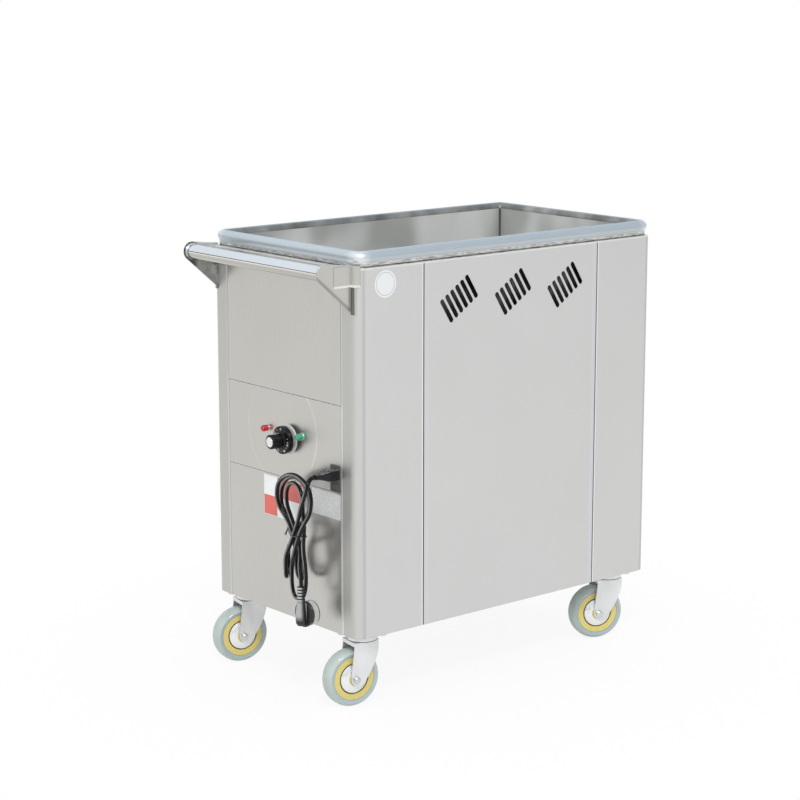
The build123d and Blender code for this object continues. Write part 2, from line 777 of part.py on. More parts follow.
# Drain: a pipe from the well's floor through the base pan, and a ball valve on its end
pipe_flange_t = 3.0
with BuildPart() as drain_pipe:
    with BuildSketch(Plane.XY.offset(valve_high)):
        with Locations((mid_x + drain_x, 0)):
            Circle(drain_pipe_d / 2)
    extrude(amount=well_low - valve_high)
    with BuildSketch(Plane.XY.offset(well_low - pipe_flange_t)):
        with Locations((mid_x + drain_x, 0)):
            Circle(20)
    extrude(amount=pipe_flange_t)
    with BuildSketch(Plane.XY.offset(valve_high)):
        with Locations((mid_x + drain_x, 0)):
            Circle(drain_bore / 2)
    extrude(amount=well_low - valve_high, mode=Mode.SUBTRACT)
drain_pipe.part.label = "drain_pipe"
export_step(drain_pipe.part, "parts/drain_pipe.step")

valve_z = (valve_low + valve_high) / 2
valve_bore = 16.0
ball_r = 11.5
ball_gap = 0.4
ball_bore = 14.0
boss_y = -valve_d / 2 - 5
boss_d = 16.0
stem_d = 8.0
valve_centre = (mid_x + drain_x, 0, valve_z)
across_valve = Plane(origin=valve_centre, x_dir=(1, 0, 0), z_dir=(0, -1, 0))
with BuildPart() as drain_valve:
    with BuildSketch(Plane.XY.offset(valve_low)):
        with Locations((mid_x + drain_x, 0)):
            RegularPolygon(valve_d / 2, 8, rotation=22.5)
    extrude(amount=valve_high - valve_low)
    with BuildSketch(across_valve):
        Circle(boss_d / 2)
    extrude(amount=-boss_y)
    with BuildSketch(Plane.XY.offset(valve_low)):
        with Locations((mid_x + drain_x, 0)):
            Circle(valve_bore / 2)
    extrude(amount=valve_high - valve_low, mode=Mode.SUBTRACT)
    with BuildSketch(across_valve):
        Circle(stem_d / 2 + running_gap)
    extrude(amount=-boss_y, mode=Mode.SUBTRACT)
    with Locations(valve_centre):
        Sphere(ball_r + ball_gap, mode=Mode.SUBTRACT)
drain_valve.part.label = "drain_valve"
export_step(drain_valve.part, "parts/drain_valve.step")

# The lever turns the ball with its stem: level it is shut, hanging down it is open
lever_gap = 1.0
lever_t = 3.0
lever_w = 16.0
lever_y = boss_y - lever_gap
with BuildPart() as drain_valve_lever:
    with Locations(valve_centre):
        Sphere(ball_r)
    with BuildSketch(across_valve):
        Circle(stem_d / 2)
    extrude(amount=-lever_y)
    with BuildSketch(across_valve.offset(-lever_y)):
        with Locations((lever_l / 2, 0)):
            SlotOverall(lever_l + lever_w, lever_w)
    extrude(amount=lever_t)
    with BuildSketch(Plane(origin=valve_centre, z_dir=(1, 0, 0))):
        Circle(ball_bore / 2)
    extrude(amount=ball_r, both=True, mode=Mode.SUBTRACT)
drain_valve_lever.part.label = "drain_valve_lever"
export_step(drain_valve_lever.part, "parts/drain_valve_lever.step")

# Caster plates: the plate, its raceway and the riveted kingpin
rivet_r = 8.0
rivet_high = crown_low - 0.3
rivet_low = 110.0
raceway_r = 27.0
raceway_low = crown_low + crown_t + 0.5
with BuildPart() as caster_plates:
    with BuildSketch(Plane.XY.offset(caster_top)):
        with Locations(*swivel_spots):
            RectangleRounded(caster_plate[0], caster_plate[1], 6)
            with GridLocations(*bolt_pattern, 2, 2):
                Circle(bolt_d / 2 + running_gap, mode=Mode.SUBTRACT)
    extrude(amount=caster_plate[2])
    for spot in swivel_spots:
        pin_outline = [
            (0, rivet_low),
            (rivet_r - 2, rivet_low),
            (rivet_r, rivet_low + 2),
            (rivet_r, rivet_high),
            (kingpin_d / 2, rivet_high),
            (kingpin_d / 2, raceway_low),
            (raceway_r - 1, raceway_low),
            (raceway_r, raceway_low + 1),
            (raceway_r, caster_top - 3),
            (raceway_r - 4, caster_top),
            (0, caster_top),
        ]
        add(turned((*spot, 0), (0, 0, 1), (1, 0, 0), pin_outline))
caster_plates.part.label = "caster_plates"
export_step(caster_plates.part, "parts/caster_plates.step")

with BuildPart() as caster_bolts:
    with BuildSketch(Plane.XY.offset(caster_top - bolt_head_h)):
        with Locations(*swivel_spots):
            with GridLocations(*bolt_pattern, 2, 2):
                RegularPolygon(bolt_head / 2, 6, major_radius=False)
    extrude(amount=bolt_head_h)
    with BuildSketch(Plane.XY.offset(caster_top)):
        with Locations(*swivel_spots):
            with GridLocations(*bolt_pattern, 2, 2):
                Circle(bolt_d / 2)
    extrude(amount=caster_plate[2] + pan_t + weld_nut_h)
caster_bolts.part.label = "caster_bolts"
export_step(caster_bolts.part, "parts/caster_bolts.step")

# Casters: fork, axle and wheel, built in each caster's own plane with the trail along local X.
# The fork's legs are flat round the axle and bend inwards ahead of the swivel axis.
wheel_r = wheel_d / 2
leg_out = leg_in + leg_t
leg_bend_x = 6.0
leg_bend_run = 32.0
leg_bend_r = 70.0
leg_low = 37.0
fork_top = crown_low + crown_t
leg_front = [(4.0, 50.0), (-13.5, 74.5), (-24.0, 100.0), (-25.0, fork_top)]
leg_back = [(25.6, fork_top), (30.5, 81.0), (33.5, 54.0)]
leg_nose = (19.0, 38.5)
flange_low = 111.0
nut_r = 6.0
shoulder_r = wheel_r - 7
tread_half_w = 4.0
rim_half_w = 14.0
rim_in_r = 28.5
web_half_t = 3.0
core_outline = [
    (axle_d / 2 + running_gap, -hub_w / 2),
    (hub_r, -hub_w / 2),
    (hub_r, -web_half_t),
    (rim_in_r, -web_half_t),
    (rim_in_r, -rim_half_w),
    (tyre_bore / 2, -rim_half_w),
    (tyre_bore / 2, rim_half_w),
    (rim_in_r, rim_half_w),
    (rim_in_r, web_half_t),
    (hub_r, web_half_t),
    (hub_r, hub_w / 2),
    (axle_d / 2 + running_gap, hub_w / 2),
]
guard_r = 26.0
guard_outline = [
    (hub_r, 17.0),
    (17, 15.8),
    (guard_r - 1, 12.6),
    (guard_r, 12.6),
    (guard_r, 13.8),
    (22, 16.0),
    (17.5, 17.7),
    (hub_r, 18.6),
]
axle_outline = [
    (0, -leg_out - 6),
    (4.5, -leg_out - 5),
    (nut_r, -leg_out - 2.5),
    (nut_r, -leg_out),
    (axle_d / 2, -leg_out),
    (axle_d / 2, leg_out),
    (nut_r, leg_out),
    (nut_r, leg_out + 5),
    (4, leg_out + 6.5),
    (0, leg_out + 6.5),
]


def bend_points(y, bend_r):
    """Where one face of a leg starts to bend, the middle of its bend, and the bend's end."""
    points = [(leg_bend_x, y)]
    for run in (leg_bend_run / 2, leg_bend_run):
        points.append((leg_bend_x - run, y - bend_r + sqrt(bend_r**2 - run**2)))
    return points


for place, (swivel_x, swivel_y, heading) in casters.items():
    trail_dir = (cos(radians(heading)), sin(radians(heading)), 0)
    axle_dir = (-trail_dir[1], trail_dir[0], 0)
    swivel = (mid_x + swivel_x, swivel_y, 0)
    hub = (swivel[0] + trail * trail_dir[0], swivel[1] + trail * trail_dir[1], wheel_r)
    upright = Plane(origin=swivel, x_dir=trail_dir, z_dir=(-axle_dir[0], -axle_dir[1], 0))
    level = Plane(origin=swivel, x_dir=trail_dir, z_dir=(0, 0, 1))
    with BuildPart() as fork:
        with BuildSketch(level.offset(leg_low)):
            for side in (-1, 1):
                inner = [(x, side * y) for x, y in bend_points(leg_in, leg_bend_r)]
                outer = [(x, side * y) for x, y in bend_points(leg_out, leg_bend_r + leg_t)]
                ends = [(35, side * leg_in), (35, side * leg_out)]
                with BuildLine():
                    Polyline(inner[0], *ends, outer[0])
                    ThreePointArc(*outer)
                    Line(outer[2], inner[2])
                    ThreePointArc(*reversed(inner))
                make_face()
        extrude(amount=fork_top - leg_low)
        with BuildSketch(upright):
            with BuildLine():
                Polyline(leg_front[2], leg_front[3], *leg_back)
                ThreePointArc(leg_back[2], leg_nose, leg_front[0])
                ThreePointArc(*leg_front[:3])
            make_face()
            with Locations((trail, wheel_r)):
                Circle(axle_d / 2, mode=Mode.SUBTRACT)
        extrude(amount=leg_out + 1, both=True, mode=Mode.INTERSECT)
        with BuildSketch(level.offset(crown_low)):
            Circle(crown_r)
            with Locations(((leg_bend_x + crown_r) / 2, 0)):
                Rectangle(crown_r - leg_bend_x, 2 * leg_out)
            Circle(kingpin_d / 2 + running_gap, mode=Mode.SUBTRACT)
        extrude(amount=crown_t)
        with BuildSketch(level.offset(flange_low)):
            with Locations((crown_r - leg_t / 2, 0)):
                Rectangle(leg_t, 2 * leg_out)
        extrude(amount=fork_top - flange_low)
    fork.part.label = f"caster_fork_{place}"
    export_step(fork.part, f"parts/caster_fork_{place}.step")

    with BuildPart() as axle:
        add(turned(hub, axle_dir, trail_dir, axle_outline))
    axle.part.label = f"caster_axle_{place}"
    export_step(axle.part, f"parts/caster_axle_{place}.step")

    with BuildPart() as tyre:
        with BuildSketch(Plane(origin=hub, x_dir=trail_dir, z_dir=(0, 0, 1))):
            with BuildLine():
                low_side = (shoulder_r, -wheel_w / 2)
                high_side = (shoulder_r, wheel_w / 2)
                seat = [(tyre_bore / 2, -rim_half_w), (tyre_bore / 2, rim_half_w)]
                Polyline(low_side, *seat, high_side)
                ThreePointArc(high_side, (wheel_r - 1.6, 10), (wheel_r, tread_half_w))
                Line((wheel_r, tread_half_w), (wheel_r, -tread_half_w))
                ThreePointArc((wheel_r, -tread_half_w), (wheel_r - 1.6, -10), low_side)
            make_face()
        revolve(axis=Axis(hub, axle_dir))
    tyre.part.label = f"caster_tyre_{place}"
    export_step(tyre.part, f"parts/caster_tyre_{place}.step")

    with BuildPart() as core:
        add(turned(hub, axle_dir, trail_dir, core_outline))
    core.part.label = f"caster_core_{place}"
    export_step(core.part, f"parts/caster_core_{place}.step")

    with BuildPart() as guards:
        for side in (-1, 1):
            outline = [(r, side * n) for r, n in guard_outline]
            add(turned(hub, axle_dir, trail_dir, outline))
    guards.part.label = f"caster_guards_{place}"
    export_step(guards.part, f"parts/caster_guards_{place}.step")


def off_panel(point):
    """The place of a point given by its distance in front of the handle end, its Y and its Z."""
    return (front_x - point[0], point[1], point[2])


def corner_radii(points):
    """The radius of the arc at each inner point of a cord's route."""
    radii = []
    for before, at, after in zip(points, points[1:], points[2:]):
        run_in = Vector(*at) - Vector(*before)
        run_out = Vector(*after) - Vector(*at)
        half_turn = radians(run_in.get_angle(run_out)) / 2
        radii.append(run_share * min(run_in.length, run_out.length) / tan(half_turn))
    return radii


def cord_stretch(label, route_points):
    """A free stretch of the cord, as a tube along straight runs and tangent arcs."""
    points = [off_panel(point) for point in route_points]
    radii = corner_radii(points)
    stretch = tube(cord_d, points, radii)
    length = stretch.volume / (pi * cord_d**2 / 4)
    print(label, "radii", [round(r, 1) for r in radii], "length by volume", round(length, 1))
    return stretch


def tangent_joint(start, start_dir, end, end_dir):
    """Where two tangent arcs from start to end meet, and their direction there."""
    across = end - start
    along = across.dot(start_dir + end_dir)
    spread = 2 * (1 - start_dir.dot(end_dir))
    if spread < 1e-9:
        reach = across.dot(across) / (2 * along)
    else:
        reach = (sqrt(along**2 + spread * across.dot(across)) - along) / spread
    leave = start + start_dir * reach
    arrive = end - end_dir * reach
    return (leave + arrive) / 2, (arrive - leave).normalized()


def hank_stations():
    """Points and directions along the hank, from the tie through every loop back to the tie."""
    out, y, lean = hank_passes[0]
    stations = [(Vector(*off_panel((out, y, tie_z))), Vector(0, -lean, -1).normalized())]
    for (loop_in, loop_out, far_z), (out, y, lean) in zip(hank_loops, hank_passes[1:]):
        upwards = 1 if far_z > tie_z else -1
        first = Vector(*off_panel(loop_in))
        last = Vector(*off_panel(loop_out))
        middle = (first + last) / 2
        stations.append((first, Vector(0, 0, upwards)))
        stations.append((Vector(middle.X, middle.Y, far_z), (last - first).normalized()))
        stations.append((last, Vector(0, 0, -upwards)))
        heading = Vector(0, -upwards * lean, -upwards).normalized()
        stations.append((Vector(*off_panel((out, y, tie_z))), heading))
    return stations


with BuildPart() as power_cord_lead:
    add(cord_stretch("power_cord_lead", lead_points))
power_cord_lead.part.label = "power_cord_lead"
export_step(power_cord_lead.part, "parts/power_cord_lead.step")

with BuildPart() as power_cord_tail:
    add(cord_stretch("power_cord_tail", tail_points))
power_cord_tail.part.label = "power_cord_tail"
export_step(power_cord_tail.part, "parts/power_cord_tail.step")

# The hank is one tube on pairs of tangent arcs, with a straight cord diameter at each end
stations = hank_stations()
first_point, first_dir = stations[0]
last_point, last_dir = stations[-1]
stations[0] = (first_point + first_dir * cord_d, first_dir)
stations[-1] = (last_point - last_dir * cord_d, last_dir)
with BuildPart() as power_cord_hank:
    with BuildLine() as hank_route:
        Line(first_point, stations[0][0])
        for (start, start_dir), (end, end_dir) in zip(stations, stations[1:]):
            joint, joint_dir = tangent_joint(start, start_dir, end, end_dir)
            TangentArc(start, joint, tangent=start_dir)
            TangentArc(joint, end, tangent=joint_dir)
        Line(stations[-1][0], last_point)
    with BuildSketch(Plane(origin=first_point, z_dir=first_dir)):
        Circle(cord_d / 2)
    sweep()
power_cord_hank.part.label = "power_cord_hank"
export_step(power_cord_hank.part, "parts/power_cord_hank.step")

# The hank's least gap to itself, on points along its arcs
gap_step = 2.0
apart = 3 * cord_d
hank_wire = hank_route.wire()
sample_count = int(hank_wire.length / gap_step)
samples = [hank_wire @ (number / sample_count) for number in range(sample_count + 1)]
skip = int(apart / gap_step)
least = min(
    (samples[i] - samples[j]).length
    for i in range(len(samples))
    for j in range(i + skip, len(samples))
)
hank_length = power_cord_hank.part.volume / (pi * cord_d**2 / 4)
print("power_cord_hank length", round(hank_wire.length, 1), "by volume", round(hank_length, 1))
print("power_cord_hank least gap", round(least - cord_d, 2))

# Tie: a thin band round the bundle, with its twisted ends at one side
tie_r = 5.7
tie_spots = [(front_x - out, y) for out, y, lean in hank_passes]
twist_out = hank_passes[2][0]
twist_y = hank_passes[2][1] + tie_r + tie_t
with BuildPart() as cord_tie:
    with BuildSketch(Plane.XY.offset(tie_z - tie_t / 2)):
        with Locations(*tie_spots):
            Circle(tie_r + tie_t)
        make_hull()
    extrude(amount=tie_t)
    with BuildSketch(Plane.XY.offset(tie_z - tie_t / 2)):
        with Locations(*tie_spots):
            Circle(tie_r)
        make_hull()
    extrude(amount=tie_t, mode=Mode.SUBTRACT)
    with BuildSketch(Plane.XY.offset(tie_z - 10)):
        with Locations((front_x - twist_out, twist_y)):
            Circle(tie_t * 0.7)
    extrude(amount=15)
cord_tie.part.label = "cord_tie"
export_step(cord_tie.part, "parts/cord_tie.step")

# Mains plug: a bottle-shaped body under its ribbed relief, and the disc that carries the pins
plug_centre = (front_x - plug_out, plug_y, 0)
rib_pitch = (relief_top - relief_low) / rib_count
relief_r = 7.0
groove_r = 4.8
groove_w = 2.4
bottle = [
    (0, plug_low),
    (7, plug_low),
    (9.5, plug_low + 4),
    (10, plug_low + 14),
    (9.5, plug_low + 24),
    (relief_r, relief_low - 4),
]
for number in range(rib_count):
    rib_z = relief_low + number * rib_pitch
    groove_end = rib_z + groove_w
    bottle += [(relief_r, rib_z), (groove_r, rib_z), (groove_r, groove_end), (relief_r, groove_end)]
bottle += [(relief_r, relief_top), (0, relief_top)]
disc_plane = Plane(origin=(front_x - disc_out, plug_y, disc_z), x_dir=(0, 1, 0), z_dir=(1, 0, 0))
with BuildPart() as plug_body:
    add(turned(plug_centre, (0, 0, 1), (1, 0, 0), bottle))
    with BuildSketch(disc_plane):
        Circle(disc_d / 2)
    extrude(amount=plug_out - disc_out, mode=Mode.SUBTRACT)
    with BuildSketch(disc_plane):
        Circle(disc_d / 2)
    extrude(amount=-disc_t)
plug_body.part.label = "plug_body"
export_step(plug_body.part, "parts/plug_body.step")

blade = (1.5, 6.3)
blade_l = 16.5
blade_places = [(-6.8, 4.0, -30), (6.8, 4.0, 30), (0, -8.0, 0)]
with BuildPart() as plug_pins:
    with BuildSketch(disc_plane):
        for x, y, turn in blade_places:
            with Locations(Location((x, y, 0), (0, 0, turn))):
                Rectangle(*blade)
    extrude(amount=blade_l)
plug_pins.part.label = "plug_pins"
export_step(plug_pins.part, "parts/plug_pins.step")

with BuildPart() as plug_cover:
    with BuildSketch(disc_plane):
        Circle(cover_d / 2)
    extrude(amount=cover_l)
    fillet(plug_cover.faces().sort_by(Axis.X)[-1].edges(), 3)
    with BuildSketch(disc_plane):
        Circle(cover_d / 2 - cover_t)
    extrude(amount=cover_l - cover_t, mode=Mode.SUBTRACT)
plug_cover.part.label = "plug_cover"
export_step(plug_cover.part, "parts/plug_cover.step")
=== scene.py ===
from math import asin, atan2, cos, pi, radians, sin, sqrt

import bmesh
import bpy
from mathutils import Matrix, Vector


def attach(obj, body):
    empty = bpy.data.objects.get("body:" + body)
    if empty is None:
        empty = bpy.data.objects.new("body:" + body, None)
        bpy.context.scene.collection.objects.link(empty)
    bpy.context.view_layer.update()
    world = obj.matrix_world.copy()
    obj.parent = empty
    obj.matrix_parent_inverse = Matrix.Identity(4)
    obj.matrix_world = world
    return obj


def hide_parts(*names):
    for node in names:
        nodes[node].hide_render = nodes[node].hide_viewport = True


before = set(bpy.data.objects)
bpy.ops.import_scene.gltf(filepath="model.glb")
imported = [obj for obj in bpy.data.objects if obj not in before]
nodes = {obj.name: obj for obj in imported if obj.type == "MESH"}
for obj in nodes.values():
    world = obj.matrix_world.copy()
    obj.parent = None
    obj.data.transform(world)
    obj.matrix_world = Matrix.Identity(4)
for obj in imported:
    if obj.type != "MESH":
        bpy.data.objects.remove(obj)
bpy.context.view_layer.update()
scene = bpy.context.scene

# Places in the row frame, in metres: the cart is pushed at its -X end
FRONT_X = -0.3185
MID_X = 0.0365
KNOB = (-0.013, 0.4566)
CORD_D = 0.0078
HANDLE = (0.056, 0.774)
BRACKET_LOW = (-0.004, 0.701)
BRACKET_NOSE_R = 0.017
PLUG = (FRONT_X - 0.053, -0.116)
PLUG_FACE_Z = 0.169
TIE_Z = 0.311
ROUND_LABEL = (-0.2583, -0.210, 0.7495)
SEAM_LEVELS = (0.3842, 0.5382)
HUB_Z = 0.052
TRAIL = 0.024
# Casters: each swivel axis from the middle of the body, and the heading of its trail in degrees
CASTERS = {
    "handle_left": (-0.311, 0.164, 167),
    "handle_right": (-0.311, -0.164, 170),
    "far_left": (0.297, 0.164, 163),
    "far_right": (0.297, -0.164, 156),
}


def add_camera():
    """The camera stands to the right of the handle end and looks slightly down."""
    azimuth, elevation = radians(-40.09), radians(11.51)
    aim, distance, left_by = Vector((MID_X, 0, 0.4782)), 4.1465, 0.0658
    back = Vector((sin(azimuth) * cos(elevation), -cos(azimuth) * cos(elevation), sin(elevation)))
    right = Vector((cos(azimuth), sin(azimuth), 0))
    data = bpy.data.cameras.new("camera")
    data.lens = 100.0
    data.sensor_width = 36.0
    camera = bpy.data.objects.new("camera", data)
    camera.location = aim + back * distance - right * left_by
    camera.rotation_euler = (-back).to_track_quat("-Z", "Y").to_euler()
    scene.collection.objects.link(camera)
    scene.camera = camera


add_camera()

# Power cord. Out is the distance in front of the handle end, in millimetres, then Y and Z.
LEAD = [
    (46.0, -148.5, 419.0),
    (54.0, -148.5, 419.0),
    (63.0, -152.0, 413.5),
    (68.5, -153.5, 403.0),
    (68.5, -148.0, 389.0),
    (65.5, -133.0, 365.0),
    (61.0, -118.0, 335.0),
]
TAIL = [
    (38.0, -94.2, 291.5),
    (43.5, -102.5, 271.0),
    (50.0, -108.0, 251.0),
    (53.0, -116.0, 234.0),
    (53.0, -116.0, 219.0),
]
# Where the hank goes through its tie: out, Y, and the lean towards +Y for each millimetre upwards
PASSES = [
    (61.0, -106.0, -0.5),
    (52.0, -100.0, -0.6),
    (28.0, -54.5, 0.35),
    (36.0, -65.5, 0.6),
    (60.0, -119.5, -0.45),
    (50.5, -121.5, -0.15),
    (38.0, -82.5, 0.6),
]
# The loops between two passes: where they stand upright going in and coming out, and their far height
LOOPS = [
    ((57.0, -77.0, 253.0), (27.0, -46.0, 249.0), 224.5),
    ((35.0, -119.0, 363.0), (25.0, -24.0, 357.0), 403.0),
    ((15.0, -53.0, 251.0), (29.0, -94.0, 251.0), 219.0),
    ((43.0, -36.0, 367.0), (53.0, -146.0, 375.0), 413.0),
    ((42.0, -75.0, 217.0), (40.5, -113.5, 225.0), 191.0),
    ((54.0, -123.0, 371.0), (46.0, -67.0, 371.0), 399.5),
]


def off_panel(point):
    """A point given by out, Y and Z in millimetres, in the row frame in metres."""
    return Vector((FRONT_X - point[0] / 1000, point[1] / 1000, point[2] / 1000))


def hank_stations():
    """Points and directions along the hank, from the tie through every loop back to the tie."""
    out, y, lean = PASSES[0]
    stations = [(off_panel((out, y, TIE_Z * 1000)), Vector((0, -lean, -1)).normalized())]
    for (loop_in, loop_out, far_z), (out, y, lean) in zip(LOOPS, PASSES[1:]):
        upwards = 1 if far_z > TIE_Z * 1000 else -1
        first, last = off_panel(loop_in), off_panel(loop_out)
        middle = (first + last) / 2
        stations.append((first, Vector((0, 0, upwards))))
        stations.append((Vector((middle.x, middle.y, far_z / 1000)), (last - first).normalized()))
        stations.append((last, Vector((0, 0, -upwards))))
        heading = Vector((0, -upwards * lean, -upwards)).normalized()
        stations.append((off_panel((out, y, TIE_Z * 1000)), heading))
    first_point, first_dir = stations[0]
    last_point, last_dir = stations[-1]
    stations[0] = (first_point + first_dir * CORD_D, first_dir)
    stations[-1] = (last_point - last_dir * CORD_D, last_dir)
    return stations


def corners_between(start, start_dir, end, end_dir):
    """The two corners of the route from one station to the next."""
    across = end - start
    along = across.dot(start_dir + end_dir)
    spread = 2 * (1 - start_dir.dot(end_dir))
    if spread < 1e-9:
        reach = across.dot(across) / (2 * along)
    else:
        reach = (sqrt(along**2 + spread * across.dot(across)) - along) / spread
    return [start + start_dir * reach, end - end_dir * reach]


def spline_object(name, points, radius):
    """A round NURBS tube whose control points are the given points."""
    data = bpy.data.curves.new(name, "CURVE")
    data.dimensions = "3D"
    spline = data.splines.new("NURBS")
    spline.points.add(len(points) - 1)
    for control, point in zip(spline.points, points):
        control.co = (*point, 1)
        control.radius = radius
    spline.order_u = 3
    spline.use_endpoint_u = True
    spline.resolution_u = 8
    data.bevel_depth = 1.0
    data.bevel_resolution = 5
    data.use_fill_caps = True
    made = bpy.data.objects.new(name, data)
    scene.collection.objects.link(made)
    return made


def add_cord():
    """The whole mains cord: the lead from the connector, the tied hank and the tail into the plug."""
    points = [off_panel(point) for point in LEAD]
    stations = hank_stations()
    for (start, start_dir), (end, end_dir) in zip(stations, stations[1:]):
        points += corners_between(start, start_dir, end, end_dir)
    points += [off_panel(point) for point in TAIL]
    made = spline_object("power_cord", points, CORD_D / 2)
    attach(made, "cabinet")
    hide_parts("power_cord_lead", "power_cord_hank", "power_cord_tail")
    return made


power_cord = add_cord()


# Materials

class Nodes:
    """Shorthand for building a node tree."""

    def __init__(self, tree):
        self.tree = tree

    def node(self, kind, **inputs):
        """A new node with its inputs set. An underscore in an input's name stands for a space."""
        made = self.tree.nodes.new(kind)
        for name, value in inputs.items():
            self.set(made.inputs[name.replace("_", " ")], value)
        return made

    def set(self, socket, value):
        """Give an input a constant, or link it to an output."""
        if isinstance(value, bpy.types.NodeSocket):
            self.tree.links.new(value, socket)
        else:
            socket.default_value = value

    def spread(self, value, low, high, start=0.32, stop=0.68, smooth=False):
        """A value between start and stop, spread from low to high."""
        made = self.node(
            "ShaderNodeMapRange", Value=value, From_Min=start, From_Max=stop, To_Min=low, To_Max=high
        )
        if smooth:
            made.interpolation_type = "SMOOTHSTEP"
        return made.outputs[0]

    def mix(self, factor, first, second):
        """A colour between the first and the second."""
        made = self.tree.nodes.new("ShaderNodeMix")
        made.data_type = "RGBA"
        # The node has sockets for every type: 0 is the factor, 6 and 7 the colours, output 2 the colour
        for number, value in ((0, factor), (6, first), (7, second)):
            self.set(made.inputs[number], value)
        return made.outputs[2]

    def math(self, operation, first, second=0.0):
        """One step of arithmetic on numbers."""
        made = self.tree.nodes.new("ShaderNodeMath")
        made.operation = operation
        self.set(made.inputs[0], first)
        self.set(made.inputs[1], second)
        return made.outputs[0]

    def vector(self, operation, first, second=(0.0, 0.0, 0.0), output="Vector"):
        """One step of arithmetic on vectors."""
        made = self.tree.nodes.new("ShaderNodeVectorMath")
        made.operation = operation
        self.set(made.inputs[0], first)
        self.set(made.inputs[1], second)
        return made.outputs[output]

    def both(self, first, second):
        """The product of two masks."""
        return self.math("MULTIPLY", first, second)


class Shader(Nodes):
    """A node material that is built up around one Principled BSDF."""

    def __init__(self, name):
        self.material = bpy.data.materials.new(name)
        self.material.use_nodes = True
        super().__init__(self.material.node_tree)
        self.surface = self.tree.nodes["Principled BSDF"]
        self.place = self.tree.nodes.new("ShaderNodeTexCoord").outputs["Object"]

    def noise(self, stretch, detail=3.0):
        """Noise whose grain is as fine along each axis as the stretch says, in cycles per metre."""
        mapped = self.node("ShaderNodeMapping", Vector=self.place, Scale=stretch)
        made = self.node("ShaderNodeTexNoise", Vector=mapped.outputs[0], Scale=1.0, Detail=detail)
        return made.outputs[0]

    def bump(self, height, distance, normal=None):
        """Relief of a given depth in metres, on top of another normal if there is one."""
        made = self.node("ShaderNodeBump", Height=height, Distance=distance)
        if normal is not None:
            self.set(made.inputs["Normal"], normal)
        return made.outputs[0]

    def part(self, vector, axis):
        """The size of one component of a vector, without its sign."""
        return self.math("ABSOLUTE", self.node("ShaderNodeSeparateXYZ", Vector=vector).outputs[axis])

    def within(self, value, low, high, soft=0.0004):
        """1 where a value lies between low and high, and 0 beyond soft edges."""
        away = self.math("ABSOLUTE", self.math("SUBTRACT", value, (low + high) / 2))
        half = (high - low) / 2
        return self.spread(away, 1.0, 0.0, start=half - soft / 2, stop=half + soft / 2)

    def centred(self):
        """The distances from the middle of the body along X and Y, and the height."""
        place = self.vector("SUBTRACT", self.place, (MID_X, 0, 0))
        return self.part(place, "X"), self.part(place, "Y"), self.part(place, "Z")

    def signed(self, axis):
        """One component of the place."""
        return self.node("ShaderNodeSeparateXYZ", Vector=self.place).outputs[axis]

    def normal_part(self, axis):
        """One component of the surface's direction."""
        normal = self.tree.nodes.new("ShaderNodeNewGeometry").outputs["Normal"]
        return self.node("ShaderNodeSeparateXYZ", Vector=normal).outputs[axis]

    def facing(self, axis):
        """How squarely the surface faces along an axis, either way."""
        return self.math("ABSOLUTE", self.normal_part(axis))

    def handle_half(self):
        """1 on the handle's half of the cart and 0 on the far half."""
        return self.spread(self.signed("X"), 1.0, 0.0, start=-0.01, stop=0.01)

    def out(self):
        """The distance in front of the handle end."""
        return self.math("SUBTRACT", FRONT_X, self.signed("X"))

    def outward(self, start, stop):
        """1 where the surface faces away from the handle end."""
        return self.spread(self.normal_part("X"), 1.0, 0.0, start=start, stop=stop, smooth=True)

    def off_line(self, y, z):
        """The distance from a line that stands square on the handle end at Y and Z."""
        flat = self.vector("MULTIPLY", self.vector("SUBTRACT", self.place, (0, y, z)), (0, 1, 1))
        return self.vector("LENGTH", flat, output="Value")

    def patches(self, stretch, low, high, start=0.32, stop=0.68):
        """Soft patches between low and high."""
        return self.spread(self.noise(stretch), low, high, start, stop)

    def ring(self, centre, radius, width):
        """A soft ring on the handle end, 1 at its crest and 0 away from it."""
        off_crest = self.math("ABSOLUTE", self.math("SUBTRACT", self.off_line(*centre), radius))
        return self.spread(off_crest, 1.0, 0.0, start=0.0, stop=width, smooth=True)


def rgba(colour, times=1.0):
    """An opaque colour, made lighter or darker and kept within white."""
    return (*[min(1.0, c * times) for c in colour], 1.0)


